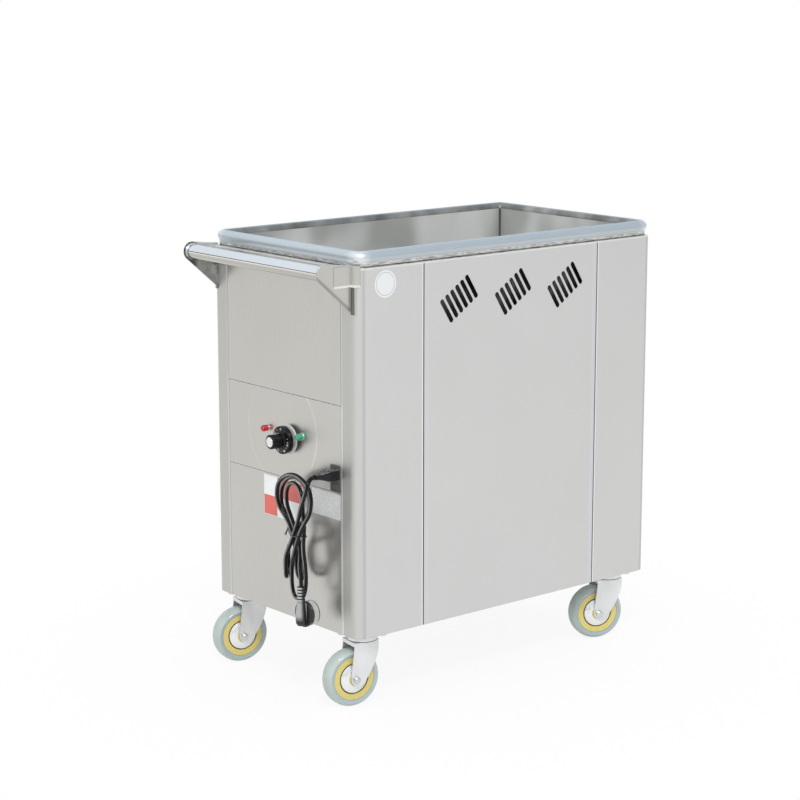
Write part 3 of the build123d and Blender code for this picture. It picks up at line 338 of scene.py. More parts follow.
def surface(
    name,
    colour,
    metal=0.0,
    rough=(0.35, 0.45),
    grain=(400, 400, 400),
    tone=0.05,
    cloud=0.03,
    cloud_size=(5, 5, 5),
    grain_depth=0.00002,
    wave_depth=0.0,
    wave_size=(4, 4, 3),
    edge=0.0,
    edge_tone=1.15,
    paint=None,
    **sockets,
):
    """A finish with fine grain in colour, roughness and relief, soft clouds, and softened edges that are
    lighter in patches, partly from wear and partly as a painted highlight.

    Grain, cloud and wave sizes are in cycles per metre, and their depths in metres. Edge is the radius
    of the softened edges. Paint is a function that lays masks over the colour, and the sockets are
    constants of the Principled BSDF.
    """
    shader = Shader(name)
    fine = shader.noise(grain)
    soft = shader.noise(cloud_size, detail=2.0)
    by_grain = shader.mix(shader.spread(fine, 0, 1), rgba(colour, 1 - tone), rgba(colour, 1 + tone))
    clouded = shader.node("ShaderNodeVectorMath")
    clouded.operation = "SCALE"
    shader.set(clouded.inputs[0], by_grain)
    shader.set(clouded.inputs["Scale"], shader.spread(soft, 1 - cloud, 1 + cloud))
    base = clouded.outputs[0]
    normal = None
    if edge:
        rounded = shader.node("ShaderNodeBevel", Radius=edge)
        rounded.samples = 4
        normal = rounded.outputs[0]
        flat = shader.tree.nodes.new("ShaderNodeNewGeometry").outputs["Normal"]
        lined_up = shader.vector("DOT_PRODUCT", normal, flat, output="Value")
        # Edges are made lighter in patches: partly wear, partly a painted highlight where they catch the
        # light
        edge_wear_and_highlight = shader.spread(lined_up, 1.0, 0.0, start=0.82, stop=0.995)
        patchy = shader.both(edge_wear_and_highlight, shader.patches((90, 90, 90), 0.35, 1.0))
        base = shader.mix(patchy, base, rgba(colour, edge_tone))
    shader.surface.inputs["Metallic"].default_value = metal
    shader.set(shader.surface.inputs["Roughness"], shader.spread(fine, *rough))
    if paint:
        base = paint(shader, base)
    shader.set(shader.surface.inputs["Base Color"], base)
    if wave_depth:
        normal = shader.bump(shader.noise(wave_size, detail=1.0), wave_depth, normal)
    if grain_depth:
        normal = shader.bump(fine, grain_depth, normal)
    if normal is not None:
        shader.set(shader.surface.inputs["Normal"], normal)
    for socket, value in sockets.items():
        shader.surface.inputs[socket.replace("_", " ")].default_value = value
    return shader.material


UPRIGHT = (900, 900, 14)
END_COLOUR = (0.60, 0.595, 0.575)
END_ROUGH = (0.27, 0.34)
SIDE_COLOUR = (0.69, 0.69, 0.68)


def grey(level, warmth=0.0):
    """A grey, or a warmer one whose blue is lower by the warmth."""
    return rgba((level, level, level - warmth))


def panel_lines(shader, base):
    """The painted highlight along the panels' top edge, and the painted shadow where the brackets meet the
    end.
    """
    _, y, z = shader.centred()
    # Painted highlight: a broken light line along the panels' top edge
    top_edge_highlight = shader.both(shader.patches((45, 45, 45), 0.35, 1.0), shader.within(z, 0.7765, 0.779))
    base = shader.mix(top_edge_highlight, base, grey(0.93, 0.01))
    # Painted shadow: a dark spot on the handle end where each bracket meets it
    spot = shader.both(shader.within(y, 0.180, 0.195, 0.008), shader.within(z, 0.750, 0.768, 0.008))
    spot = shader.both(shader.both(spot, shader.facing("X")), shader.handle_half())
    return shader.mix(shader.both(spot, 0.8), base, rgba((0.07, 0.08, 0.075)))


def corner_paint(shader, base):
    """Corner panels: the end's finish round the corner, a painted dark reflection band and a painted
    highlight on the bend, and painted highlight and shade along the folded edges.
    """
    x, y, z = shader.centred()
    across, side = shader.facing("X"), shader.facing("Y")
    turned = shader.spread(across, 0.0, 1.0, start=0.45, stop=0.95, smooth=True)
    base = shader.mix(turned, base, rgba(END_COLOUR))
    for socket, on_side, on_end_side in (("Metallic", 0.7, 1.0), ("Roughness", 0.46, 0.50)):
        value = shader.spread(turned, on_side, on_end_side, start=0.0, stop=1.0)
        shader.set(shader.surface.inputs[socket], value)

    # Painted reflection: a dark band part way round the bend; painted highlight: a light band nearer the
    # end
    dark_reflection_bend = shader.within(across, 0.27, 0.50, 0.24)
    base = shader.mix(shader.both(dark_reflection_bend, 0.45), base, grey(0.34, 0.005))
    bend_highlight = shader.within(across, 0.72, 0.95, 0.20)
    base = shader.mix(shader.both(bend_highlight, 0.35), base, grey(0.86, 0.01))
    # Painted highlight and painted shade on the folded edge at the seam with the side panel
    fold_highlight, fold_shade = shader.within(x, 0.2104, 0.2126), shader.within(x, 0.2092, 0.2104)
    base = shader.mix(shader.both(side, fold_highlight), base, grey(0.93))
    base = shader.mix(shader.both(side, fold_shade), base, grey(0.16))

    # Painted highlight: a white line along the fold at the seam with the end panels, fainter on the left
    # and higher up
    end_fold_highlight = shader.both(across, shader.within(y, 0.1630, 0.1668))
    fainter_left = shader.spread(shader.signed("Y"), 1.0, 0.30, start=-0.01, stop=0.01)
    fainter_above = shader.spread(z, 1.0, 0.35, start=0.53, stop=0.55)
    end_fold_highlight = shader.both(end_fold_highlight, shader.both(fainter_left, fainter_above))
    base = shader.mix(end_fold_highlight, base, grey(1.0, 0.01))
    return panel_lines(shader, base)


def labelled_corner_paint(shader, base):
    """The corner panel that carries a round blank label with a thin printed ring."""
    base = corner_paint(shader, base)
    flat = shader.vector("SUBTRACT", shader.place, ROUND_LABEL)
    away = shader.vector("LENGTH", flat, output="Value")
    label, printed = shader.within(away, -0.02, 0.0235, 0.0006), shader.within(away, 0.0192, 0.0204, 0.0006)
    base = shader.mix(label, base, rgba((0.92, 0.93, 0.94)))
    return shader.mix(printed, base, rgba((0.55, 0.62, 0.68)))


def side_paint(shader, base):
    """Side panels: painted shade on their folded edges in the seams, with a painted cool reflection strip
    and a painted highlight line beside them.
    """
    x, _, _ = shader.centred()
    # Painted reflection and painted highlight beside each seam, then painted shade in the seam itself
    side_cool_reflection, side_fold_highlight = shader.within(x, 0.2005, 0.2076, 0.002), shader.within(x, 0.1990, 0.2002)
    base = shader.mix(side_cool_reflection, base, rgba((0.70, 0.705, 0.735)))
    base = shader.mix(side_fold_highlight, base, grey(0.74, 0.01))
    base = shader.mix(shader.within(x, 0.2078, 0.2092), base, grey(0.15))
    return panel_lines(shader, base)


def end_paint(shader, base):
    """Panels of the ends: a painted highlight along the folded edge under each level seam of the handle
    end.
    """
    _, _, z = shader.centred()
    patches = shader.both(shader.patches((60, 160, 60), 0.0, 0.8), shader.handle_half())
    # Painted highlight: a broken light line just under each level seam
    for level in SEAM_LEVELS:
        seam_highlight = shader.both(patches, shader.within(z, level - 0.0008, level))
        base = shader.mix(seam_highlight, base, grey(0.92, 0.01))
    return panel_lines(shader, base)


def control_paint(shader, base):
    """The control panel, with a faint pale ring in patches round the knob."""
    patches = shader.patches((14, 14, 14), 0.05, 0.40, start=0.42, stop=0.6)
    ring = shader.both(patches, shader.ring((0.004, 0.470), 0.099, 0.0034))
    return end_paint(shader, shader.mix(ring, base, grey(0.93, 0.01)))


def rim_paint(shader, base):
    """Top rim: painted highlights on its bends and along the panels' top edge, a painted cool reflection
    below the crest, and painted shade inside the roll and under it, darkest in the gap above the panels.
    """
    x, y, z = shader.centred()
    streaks = shader.patches((90, 90, 700), 0.0, 1.0)
    patches = shader.patches((22, 22, 22), 0.0, 1.0)
    # Painted reflection: a cooler band below the crest
    crest_cool_reflection = shader.within(z, 0.7912, 0.7970, 0.0015)
    base = shader.mix(shader.both(crest_cool_reflection, 0.8), base, rgba((0.49, 0.55, 0.59)))
    # Painted highlight on the rim's bends at the corners
    rim_bend_highlight = shader.both(
        shader.spread(x, 0.0, 1.0, start=0.318, stop=0.343, smooth=True),
        shader.spread(y, 0.0, 1.0, start=0.170, stop=0.198, smooth=True),
    )
    base = shader.mix(shader.both(rim_bend_highlight, 0.6), base, rgba((0.95, 0.97, 0.98)))
    # Painted shade on the inside of the roll, mottled in patches
    painted_shade = shader.mix(patches, rgba((0.14, 0.13, 0.115)), rgba((0.38, 0.36, 0.33)))
    inside = shader.both(
        shader.spread(x, 1.0, 0.0, start=0.337, stop=0.343),
        shader.spread(y, 1.0, 0.0, start=0.192, stop=0.198),
    )
    base = shader.mix(shader.both(inside, 0.9), base, painted_shade)
    # Painted shade in streaks under the roll, and painted shadow in the gap above the panels
    shade_under_roll = shader.mix(streaks, rgba((0.30, 0.29, 0.27)), rgba((0.85, 0.84, 0.82)))
    base = shader.mix(shader.within(z, 0.7796, 0.7868, 0.0010), base, shade_under_roll)
    gap_shadow = shader.both(shader.within(z, 0.7795, 0.7822, 0.0006), shader.spread(streaks, 0.45, 1.0))
    base = shader.mix(gap_shadow, base, grey(0.05, 0.005))
    # Painted highlight: a light line along the panels' top edge
    return shader.mix(shader.within(z, 0.7770, 0.7794), base, grey(0.92, 0.01))


def well_paint(shader, base):
    """Water well: soft watermarks, painted shade down its inner corners, and painted shade on its outside
    behind the vents.
    """
    x, y, _ = shader.centred()
    marks = shader.noise((9, 9, 5), detail=1.0)
    marks = shader.spread(marks, 0.0, 1.0, start=0.42, stop=0.68, smooth=True)
    base = shader.mix(marks, base, grey(0.50, 0.02))
    # Painted shade: dark lines down the inner corners
    corner = shader.both(shader.within(x, 0.3290, 0.3326), shader.within(y, 0.1840, 0.1876))
    base = shader.mix(corner, base, grey(0.10))
    # Painted shade on the tank's outside, seen through the vents, lighter in patches
    outside = shader.math("MAXIMUM", shader.within(x, 0.3326, 0.4), shader.within(y, 0.1876, 0.3))
    vent_shade = shader.mix(shader.patches((25, 25, 25), 0.0, 1.0), grey(0.02), grey(0.14))
    return shader.mix(outside, base, vent_shade)


def bracket_paint(shader, base):
    """Handle brackets: painted shadow along the slanted edge, painted shade on the flange under a painted
    highlight on the ledge, and on the left bracket painted shade, a painted shadow at its root, a painted
    highlight on its top and painted shade round its nose.
    """
    _, y, z = shader.centred()
    out = shader.out()
    plate = shader.within(y, 0.15, 0.1934)
    nose = Vector(HANDLE) - Vector(BRACKET_LOW)
    slope = atan2(nose.y, nose.x) - asin(BRACKET_NOSE_R / nose.length)
    rise = shader.both(shader.math("SUBTRACT", z, BRACKET_LOW[1]), cos(slope))
    run = shader.both(shader.math("SUBTRACT", out, BRACKET_LOW[0]), sin(slope))
    off_edge = shader.math("SUBTRACT", rise, run)
    # Painted shadow along the slanted edge of each bracket plate
    slanted_edge_shadow = shader.both(plate, shader.within(off_edge, -0.001, 0.0040, 0.003))
    base = shader.mix(shader.both(slanted_edge_shadow, 0.8), base, rgba((0.33, 0.325, 0.305)))

    # Painted shade on the flange, darkest at its root, and a painted highlight along the ledge above it
    below = shader.within(z, 0.69, 0.7478)
    flange_shade = shader.both(below, shader.within(y, 0.1936, 0.2008))
    base = shader.mix(flange_shade, base, rgba((0.21, 0.20, 0.18)))
    flange_root_shade = shader.both(below, shader.within(y, 0.1936, 0.1952))
    base = shader.mix(flange_root_shade, base, rgba((0.12, 0.115, 0.10)))
    ledge_highlight = shader.both(shader.within(y, 0.1932, 0.25), shader.within(z, 0.7474, 0.7517))
    base = shader.mix(ledge_highlight, base, grey(0.97, 0.01))

    # Painted shade in patches on the left bracket, whose inner face is seen
    left = shader.within(shader.signed("Y"), 0.15, 0.30)
    painted_shade = shader.patches((60, 60, 60), 0.0, 1.0)
    painted_shade = shader.mix(painted_shade, rgba((0.27, 0.28, 0.27)), rgba((0.56, 0.57, 0.55)))
    base = shader.mix(shader.both(left, shader.within(z, 0.69, 0.7640, 0.003)), base, painted_shade)
    # Painted shadow where the left bracket meets the handle end
    root_shadow = shader.both(shader.within(out, -0.01, 0.010, 0.006), shader.within(z, 0.746, 0.770, 0.006))
    base = shader.mix(shader.both(left, root_shadow), base, rgba((0.05, 0.055, 0.05)))
    # Painted highlight on the top of the left bracket
    left_top_highlight = shader.both(left, shader.within(z, 0.7655, 0.80, 0.003))
    base = shader.mix(left_top_highlight, base, grey(0.97))

    # Painted shade: a dark arc round the tube at the left bracket's nose
    rise, run = shader.math("SUBTRACT", z, HANDLE[1]), shader.math("SUBTRACT", out, HANDLE[0])
    square = shader.math("ADD", shader.both(rise, rise), shader.both(run, run))
    off_axis = shader.math("SQRT", square)
    rim = shader.both(left, shader.within(off_axis, 0.0148, 0.03, 0.001))
    rim = shader.both(rim, shader.within(out, 0.048, 0.08, 0.010))
    return shader.mix(rim, base, rgba((0.13, 0.135, 0.14)))


def tube_paint(shader, base):
    """Push handle: painted shade and reflection, darker and warmer on its underside."""
    # Painted shade and reflection: darker and warmer where the tube faces down
    under = shader.spread(shader.normal_part("Z"), 1.0, 0.0, start=-0.22, stop=0.08, smooth=True)
    return shader.mix(under, base, rgba((0.50, 0.485, 0.46)))


def cord_paint(shader, base):
    """Mains cord: painted highlights, in grey patches on the side that faces away from the cart."""
    # Painted highlights: grey patches on the side that faces away from the cart
    cord_highlights = shader.both(shader.outward(-0.985, -0.84), shader.patches((35, 35, 12), 0.25, 1.0))
    return shader.mix(cord_highlights, base, rgba((0.33, 0.335, 0.335)))


def inlet_paint(shader, base):
    """Power inlet: its flange is dark grey."""
    return shader.mix(shader.within(shader.out(), -0.01, 0.0065), base, grey(0.10, 0.005))


def connector_paint(shader, base):
    """The cord's connector, with a painted highlight in patches on top."""
    # Painted highlight: lighter grey in patches where the connector faces up
    up = shader.spread(shader.normal_part("Z"), 0.0, 1.0, start=0.35, stop=0.9, smooth=True)
    return shader.mix(shader.both(up, shader.patches((150, 150, 150), 0.2, 1.0)), base, grey(0.17, 0.005))


def cover_paint(shader, base):
    """Pin cover: clear, with the dark disc showing at its root and painted shade as a dark outline at its
    mouth.
    """
    out = shader.out()
    base = shader.mix(shader.within(out, 0.0400, 0.05), base, grey(0.10))
    # Painted shade: a dark outline round the cover's mouth
    away = shader.off_line(PLUG[1], PLUG_FACE_Z)
    outline = shader.both(shader.within(out, 0.0, 0.0300), shader.within(away, 0.0205, 0.03))
    return shader.mix(outline, base, grey(0.12))


def plug_paint(shader, base):
    """Mains plug: painted highlights in grey on the outward side of its bottle and of the ribs of its
    relief.
    """
    flat = shader.vector("MULTIPLY", shader.vector("SUBTRACT", shader.place, (*PLUG, 0)), (1, 1, 0))
    away = shader.vector("LENGTH", flat, output="Value")
    z, outward = shader.signed("Z"), shader.outward(-0.85, -0.15)
    # Painted highlights on the outward side of the bottle and of the relief's ribs
    bottle_highlight = shader.both(shader.within(away, -0.01, 0.0108), shader.within(z, 0.1635, 0.1945, 0.010))
    base = shader.mix(shader.both(outward, bottle_highlight), base, rgba((0.42, 0.43, 0.42)))
    rib_highlights = shader.both(shader.within(away, 0.0060, 0.0075), shader.within(z, 0.1945, 0.2195))
    return shader.mix(shader.both(outward, rib_highlights), base, rgba((0.50, 0.51, 0.50)))


end_finish = dict(colour=END_COLOUR, metal=1.0, rough=END_ROUGH, grain=UPRIGHT, tone=0.012,
                  cloud=0.015, grain_depth=0.000001, wave_depth=0.0006, edge=0.0011, edge_tone=1.4,
                  paint=end_paint)
side_finish = dict(colour=SIDE_COLOUR, metal=0.7, rough=(0.42, 0.5), grain=UPRIGHT, tone=0.012,
                   cloud=0.01, grain_depth=0.000002, wave_depth=0.0003, edge=0.0011, edge_tone=1.15)
steel = {
    "side": surface("side_steel", paint=side_paint, **side_finish),
    "corner": surface("corner_steel", paint=corner_paint, **side_finish),
    "labelled": surface("labelled_corner_steel", paint=labelled_corner_paint, **side_finish),
    "end": surface("end_steel", **end_finish),
    "control": surface("control_steel", **{**end_finish, "paint": control_paint}),
    "rim": surface("rim_steel", (0.60, 0.645, 0.675), 0.8, (0.32, 0.38), (60, 60, 250), 0.012, 0.02,
                   grain_depth=0.0, wave_depth=0.0003, paint=rim_paint),
    "well": surface("well_steel", (0.84, 0.84, 0.82), 0.55, (0.30, 0.40), (600, 600, 12), 0.01, 0.05,
                    (7, 7, 3), grain_depth=0.0, wave_depth=0.0016, wave_size=(7, 7, 7),
                    paint=well_paint),
    "plain": surface("plain_steel", (0.72, 0.72, 0.71), 1.0, (0.28, 0.4), (500, 500, 30), 0.04, 0.04,
                     grain_depth=0.000004, edge=0.0006),
    "tray": surface("tray_steel", (0.78, 0.78, 0.77), 0.7, (0.25, 0.38), (40, 900, 900), 0.05, 0.03,
                    grain_depth=0.00001, edge=0.0005),
    "bracket": surface("bracket_steel", (0.63, 0.625, 0.60), 1.0, (0.27, 0.36), UPRIGHT, 0.03, 0.03,
                       grain_depth=0.000004, edge=0.0009, edge_tone=1.4, paint=bracket_paint),
    "handle": surface("handle_steel", (0.80, 0.81, 0.82), 1.0, (0.07, 0.12), (900, 12, 900), 0.03, 0.02,
                      grain_depth=0.000002, paint=tube_paint),
    "pan": surface("pan_steel", (0.60, 0.60, 0.59), 1.0, (0.35, 0.5), (30, 700, 700), 0.08, 0.06,
                   grain_depth=0.00001, edge=0.0006),
    "zinc": surface("zinc_steel", (0.80, 0.81, 0.82), 0.7, (0.28, 0.36), (300, 300, 20), 0.012, 0.06,
                    (30, 30, 12), grain_depth=0.000002, edge=0.0009, edge_tone=1.2),
    "bolt": surface("bolt_steel", (0.72, 0.72, 0.70), 1.0, (0.25, 0.4), (500, 500, 500), 0.08, 0.04,
                    grain_depth=0.00002, edge=0.0005),
    "heater": surface("heater_steel", (0.42, 0.40, 0.38), 1.0, (0.3, 0.5), (120, 500, 500), 0.15, 0.12,
                      grain_depth=0.00002),
    "guard": surface("guard_steel", (0.90, 0.90, 0.91), 0.5, (0.18, 0.26), (60, 60, 60), 0.01, 0.03,
                     grain_depth=0.0, edge=0.0005),
    "foil": surface("foil_silver", (0.90, 0.90, 0.90), 0.6, (0.35, 0.6), (420, 420, 420), 0.16, 0.03,
                    grain_depth=0.00002),
}
plastic = {
    "knob": surface("knob_black", (0.007, 0.007, 0.008), 0.0, (0.16, 0.26), (900, 900, 900), 0.2, 0.1,
                    grain_depth=0.00001, edge=0.0005, edge_tone=4.0, Specular_IOR_Level=0.25),
    "dial": surface("dial_white", (0.86, 0.86, 0.85), 0.0, (0.3, 0.4), (400, 400, 400), 0.02, 0.02,
                    grain_depth=0.00001, edge=0.0003),
    "print": surface("print_white", (0.88, 0.88, 0.87), 0.0, (0.35, 0.45), (700, 700, 700), 0.04, 0.03,
                     grain_depth=0.000005),
    "paper": surface("label_paper", (0.93, 0.93, 0.92), 0.0, (0.3, 0.42), (300, 300, 300), 0.02, 0.02,
                     grain_depth=0.00001, Coat_Weight=0.3),
    "red_field": surface("label_red", (0.78, 0.14, 0.11), 0.0, (0.3, 0.42), (300, 300, 300), 0.05, 0.05,
                         grain_depth=0.00001, Coat_Weight=0.3),
    "red": surface("lamp_red", (0.66, 0.012, 0.012), 0.0, (0.06, 0.12), (200, 200, 200), 0.1, 0.1,
                   grain_depth=0.00001, Transmission_Weight=0.25, Subsurface_Weight=0.2,
                   Subsurface_Scale=0.004, Coat_Weight=0.8),
    "green": surface("lamp_green", (0.02, 0.50, 0.20), 0.0, (0.06, 0.12), (200, 200, 200), 0.1, 0.1,
                     grain_depth=0.00001, Transmission_Weight=0.25, Subsurface_Weight=0.2,
                     Subsurface_Scale=0.004, Coat_Weight=0.8),
    "moulded": surface("moulded_black", (0.008, 0.008, 0.0085), 0.0, (0.2, 0.28), (700, 700, 700), 0.2,
                       0.15, grain_depth=0.00002, edge=0.0007, edge_tone=6.0, paint=connector_paint,
                       Specular_IOR_Level=0.3),
    "inlet": surface("inlet_black", (0.008, 0.008, 0.0085), 0.0, (0.3, 0.4), (700, 700, 700), 0.2, 0.15,
                     grain_depth=0.00002, edge=0.0007, edge_tone=6.0, paint=inlet_paint,
                     Specular_IOR_Level=0.3),
    "plug": surface("plug_black", (0.020, 0.020, 0.021), 0.0, (0.22, 0.3), (700, 700, 700), 0.15, 0.15,
                    grain_depth=0.00002, edge=0.0005, edge_tone=3.0, paint=plug_paint),
    "cord": surface("cord_black", (0.005, 0.005, 0.0055), 0.0, (0.14, 0.2), (500, 500, 500), 0.2, 0.15,
                    grain_depth=0.00001, paint=cord_paint, Specular_IOR_Level=0.22),
    "case": surface("case_grey", (0.22, 0.22, 0.23), 0.0, (0.4, 0.5), (500, 500, 500), 0.1, 0.05,
                    grain_depth=0.00003, edge=0.0006),
    "wire": surface("wire_sleeve", (0.74, 0.74, 0.72), 0.0, (0.45, 0.55), (800, 800, 800), 0.06, 0.05,
                    grain_depth=0.00003),
    "core": surface("core_yellow", (0.74, 0.62, 0.19), 0.0, (0.28, 0.4), (400, 400, 400), 0.05, 0.06,
                    grain_depth=0.00002, edge=0.0008, edge_tone=1.2, Coat_Weight=0.4),
}


def tyre(place):
    """A caster's tyre: a bluish side wall round the core and a greener tread."""
    axis_x, axis_y, heading = CASTERS[place]
    heading = radians(heading)
    hub = (MID_X + axis_x + TRAIL * cos(heading), axis_y + TRAIL * sin(heading), HUB_Z)
    axle = (-sin(heading), cos(heading), 0)

    def bands(shader, base):
        off_hub = shader.vector("SUBTRACT", shader.place, hub)
        along = shader.vector("DOT_PRODUCT", off_hub, axle, output="Value")
        away = shader.vector("LENGTH", off_hub, output="Value")
        square = shader.math("SUBTRACT", shader.both(away, away), shader.both(along, along))
        radius = shader.math("SQRT", square)
        wall = shader.within(radius, 0.030, 0.0455, 0.0025)
        base = shader.mix(wall, base, rgba((0.42, 0.51, 0.56)))
        return shader.mix(shader.within(radius, 0.0385, 0.0398), base, rgba((0.30, 0.30, 0.18)))

    return surface(f"tyre_grey_{place}", (0.50, 0.575, 0.53), 0.0, (0.38, 0.5), (500, 500, 500), 0.04, 0.06,
                   (40, 40, 40), grain_depth=0.00003, paint=bands, Coat_Weight=0.3)


metal = {
    "cap": surface("cap_silver", (0.84, 0.84, 0.86), 1.0, (0.2, 0.3), (900, 900, 900), 0.04, 0.02,
                   grain_depth=0.000005, edge=0.0004),
    "chrome": surface("bezel_chrome", (0.80, 0.81, 0.82), 1.0, (0.08, 0.14), (900, 900, 900), 0.03, 0.03,
                      grain_depth=0.000003, edge=0.0003),
    "brass": surface("brass", (0.72, 0.55, 0.26), 1.0, (0.2, 0.35), (400, 400, 400), 0.08, 0.08,
                     grain_depth=0.00001, edge=0.0006, edge_tone=1.25),
    "pin": surface("pin_nickel", (0.74, 0.68, 0.52), 1.0, (0.14, 0.25), (600, 600, 600), 0.05, 0.03,
                   grain_depth=0.000005, edge=0.0003),
}
clear = surface("plug_clear", (0.98, 0.99, 0.99), 0.0, (0.04, 0.1), (200, 200, 200), 0.01, 0.01,
                grain_depth=0.00001, paint=cover_paint, Transmission_Weight=1.0, IOR=1.46)

finish_of = {
    "corner_panel": steel["corner"],
    "corner_panel_handle_right": steel["labelled"],
    "side_panel": steel["side"],
    "end_panel": steel["end"],
    "control_panel": steel["control"],
    "far_end_panel": steel["end"],
    "base_pan": steel["pan"],
    "water_tank": steel["well"],
    "top_rim": steel["rim"],
    "rack_supports": steel["plain"],
    "steam_plate": steel["tray"],
    "heater_element": steel["heater"],
    "thermostat": plastic["case"],
    "dial_plate": plastic["dial"],
    "thermostat_knob": plastic["knob"],
    "knob_cap": metal["cap"],
    "red_lamp": plastic["red"],
    "green_lamp": plastic["green"],
    "lamp_housings": metal["chrome"],
    "power_inlet": plastic["inlet"],
    "power_connector": plastic["moulded"],
    "power_cord": plastic["cord"],
    "cord_tie": plastic["cord"],
    "plug_body": plastic["plug"],
    "plug_pins": metal["pin"],
    "plug_cover": clear,
    "wiring": plastic["wire"],
    "handle_tube": steel["handle"],
    "handle_brackets": steel["bracket"],
    "drain_pipe": steel["plain"],
    "drain_valve": metal["brass"],
    "drain_valve_lever": steel["bolt"],
    "caster_plates": steel["zinc"],
    "caster_bolts": steel["bolt"],
    "caster_fork": steel["zinc"],
    "caster_axle": steel["bolt"],
    "caster_core": plastic["core"],
    "caster_guards": steel["guard"],
}
for place in CASTERS:
    finish_of[f"caster_tyre_{place}"] = tyre(place)
for name, node in nodes.items():
    stem = max((stem for stem in finish_of if name.startswith(stem)), key=len)
    node.data.materials.clear()
    node.data.materials.append(finish_of[stem])

power_cord.data.materials.append(plastic["cord"])


# Small pieces that the photograph shows on the panels, the knob and the hank

def add_piece(name, built, body, material):
    """A piece made of a bmesh, in the row frame, that rides on a body."""
    mesh = bpy.data.meshes.new(name)
    built.to_mesh(mesh)
    built.free()
    mesh.materials.append(material)
    made = bpy.data.objects.new(name, mesh)
    scene.collection.objects.link(made)
    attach(made, body)
    return made


def add_slab(built, place, width, height, corner, thick):
    """A thin slab with round corners. Its place takes X along its width, Y up its height and Z outwards."""
    outline = []
    for quarter in range(4):
        turn = quarter * pi / 2
        across = (width / 2 - corner) * (1 if quarter in (0, 3) else -1)
        up = (height / 2 - corner) * (1 if quarter in (0, 1) else -1)
        for step in range(7):
            angle = turn + step * pi / 12
            outline.append((across + corner * cos(angle), up + corner * sin(angle)))
    back = [built.verts.new(place @ Vector((x, y, -thick / 2))) for x, y in outline]
    front = [built.verts.new(place @ Vector((x, y, thick / 2))) for x, y in outline]
    built.faces.new(front)
    built.faces.new(list(reversed(back)))
    for number in range(len(outline)):
        following = (number + 1) % len(outline)
        built.faces.new((back[number], back[following], front[following], front[number]))


# A digit's height as a part of the font's size
DIGIT_HEIGHT = 0.7


def facing(right, up, place):
    """The matrix that takes X to right, Y to up and the origin to place."""
    right, up = Vector(right).normalized(), Vector(up).normalized()
    rows = (right, up, right.cross(up))
    return Matrix.Translation(place) @ Matrix(rows).transposed().to_4x4()


def on_end(y, z, proud=0.0):
    """Flat on the handle end, as a person who pushes the cart sees it."""
    return facing((0, -1, 0), (0, 0, 1), (FRONT_X - proud, y, z))


def add_labels():
    """Blank labels: one of white paper with plain red fields, and one of silver foil."""
    paper_t, field_t = 0.00012, 0.00004
    white = bmesh.new()
    add_slab(white, on_end(0.0025, 0.34475), 0.113, 0.0725, 0.0015, paper_t)
    add_piece("blank_label_white", white, "cabinet", plastic["paper"])
    red = bmesh.new()
    add_slab(red, on_end(0.0395, 0.3268, paper_t / 2), 0.038, 0.0355, 0.001, field_t)
    add_slab(red, on_end(-0.0165, 0.3628, paper_t / 2), 0.072, 0.0355, 0.001, field_t)
    add_piece("blank_label_red_fields", red, "cabinet", plastic["red_field"])
    foil = bmesh.new()
    add_slab(foil, on_end(-0.121, 0.3595), 0.080, 0.045, 0.001, paper_t)
    add_piece("blank_label_foil", foil, "cabinet", steel["foil"])


def mesh_of(curve):
    """The mesh of a curve, which is used up."""
    maker = bpy.data.objects.new(curve.name, curve)
    mesh = bpy.data.meshes.new_from_object(maker)
    bpy.data.objects.remove(maker)
    bpy.data.curves.remove(curve)
    return mesh


def take_in(built, mesh):
    """Add a mesh to a bmesh, which uses it up."""
    built.from_mesh(mesh)
    bpy.data.meshes.remove(mesh)


def digits(text, height):
    """The faces of a number as a mesh, centred, standing up along Y."""
    curve = bpy.data.curves.new("digits", "FONT")
    curve.body = text
    curve.size = height / DIGIT_HEIGHT
    curve.extrude = 0.00006
    curve.align_x = "CENTER"
    curve.align_y = "CENTER"
    return mesh_of(curve)


def add_knob_scale():
    """White numbers and dots on the knob's skirt, and the pointer line along the top of its grip."""
    skirt_out, skirt_slope, skirt_r, number_r = 0.01605, 0.089, 0.024, 0.0197
    number_height, dot_size, line_width, thick = 0.0042, 0.0014, 0.0014, 0.00012
    numbers = {"0": 0, "30": 60, "50": 110, "70": 160, "90": 210, "110": 260}
    dots = (30, 85, 135, 185, 235, 285)
    built = bmesh.new()

    def on_skirt(turn):
        """Upright on the skirt, at a turn in degrees."""
        angle = -radians(turn)
        outwards = Vector((skirt_slope, -sin(angle), cos(angle)))
        place = (
            FRONT_X - skirt_out - skirt_slope * (skirt_r - number_r),
            KNOB[0] - number_r * sin(angle),
            KNOB[1] + number_r * cos(angle),
        )
        return facing((0, -cos(angle), -sin(angle)), outwards, place)

    for text, turn in numbers.items():
        mesh = digits(text, number_height)
        mesh.transform(on_skirt(turn))
        take_in(built, mesh)
    for turn in dots:
        add_slab(built, on_skirt(turn), dot_size, dot_size, 0.00068, thick)
    grip_top = facing((0, -1, 0), (-1, 0, 0), (FRONT_X - 0.0290, KNOB[0], KNOB[1] + 0.01302))
    add_slab(built, grip_top, line_width, 0.0175, 0.0005, 0.00016)
    add_piece("knob_scale", built, "thermostat_knob", plastic["print"])


def bent_wire(points, radius, closed=False):
    """A round wire along the points, as a mesh."""
    curve = bpy.data.curves.new("wire", "CURVE")
    curve.dimensions = "3D"
    spline = curve.splines.new("POLY")
    spline.points.add(len(points) - 1)
    for control, point in zip(spline.points, points):
        control.co = (*point, 1)
    spline.use_cyclic_u = closed
    curve.bevel_depth = radius
    curve.bevel_resolution = 3
    curve.use_fill_caps = True
    return mesh_of(curve)


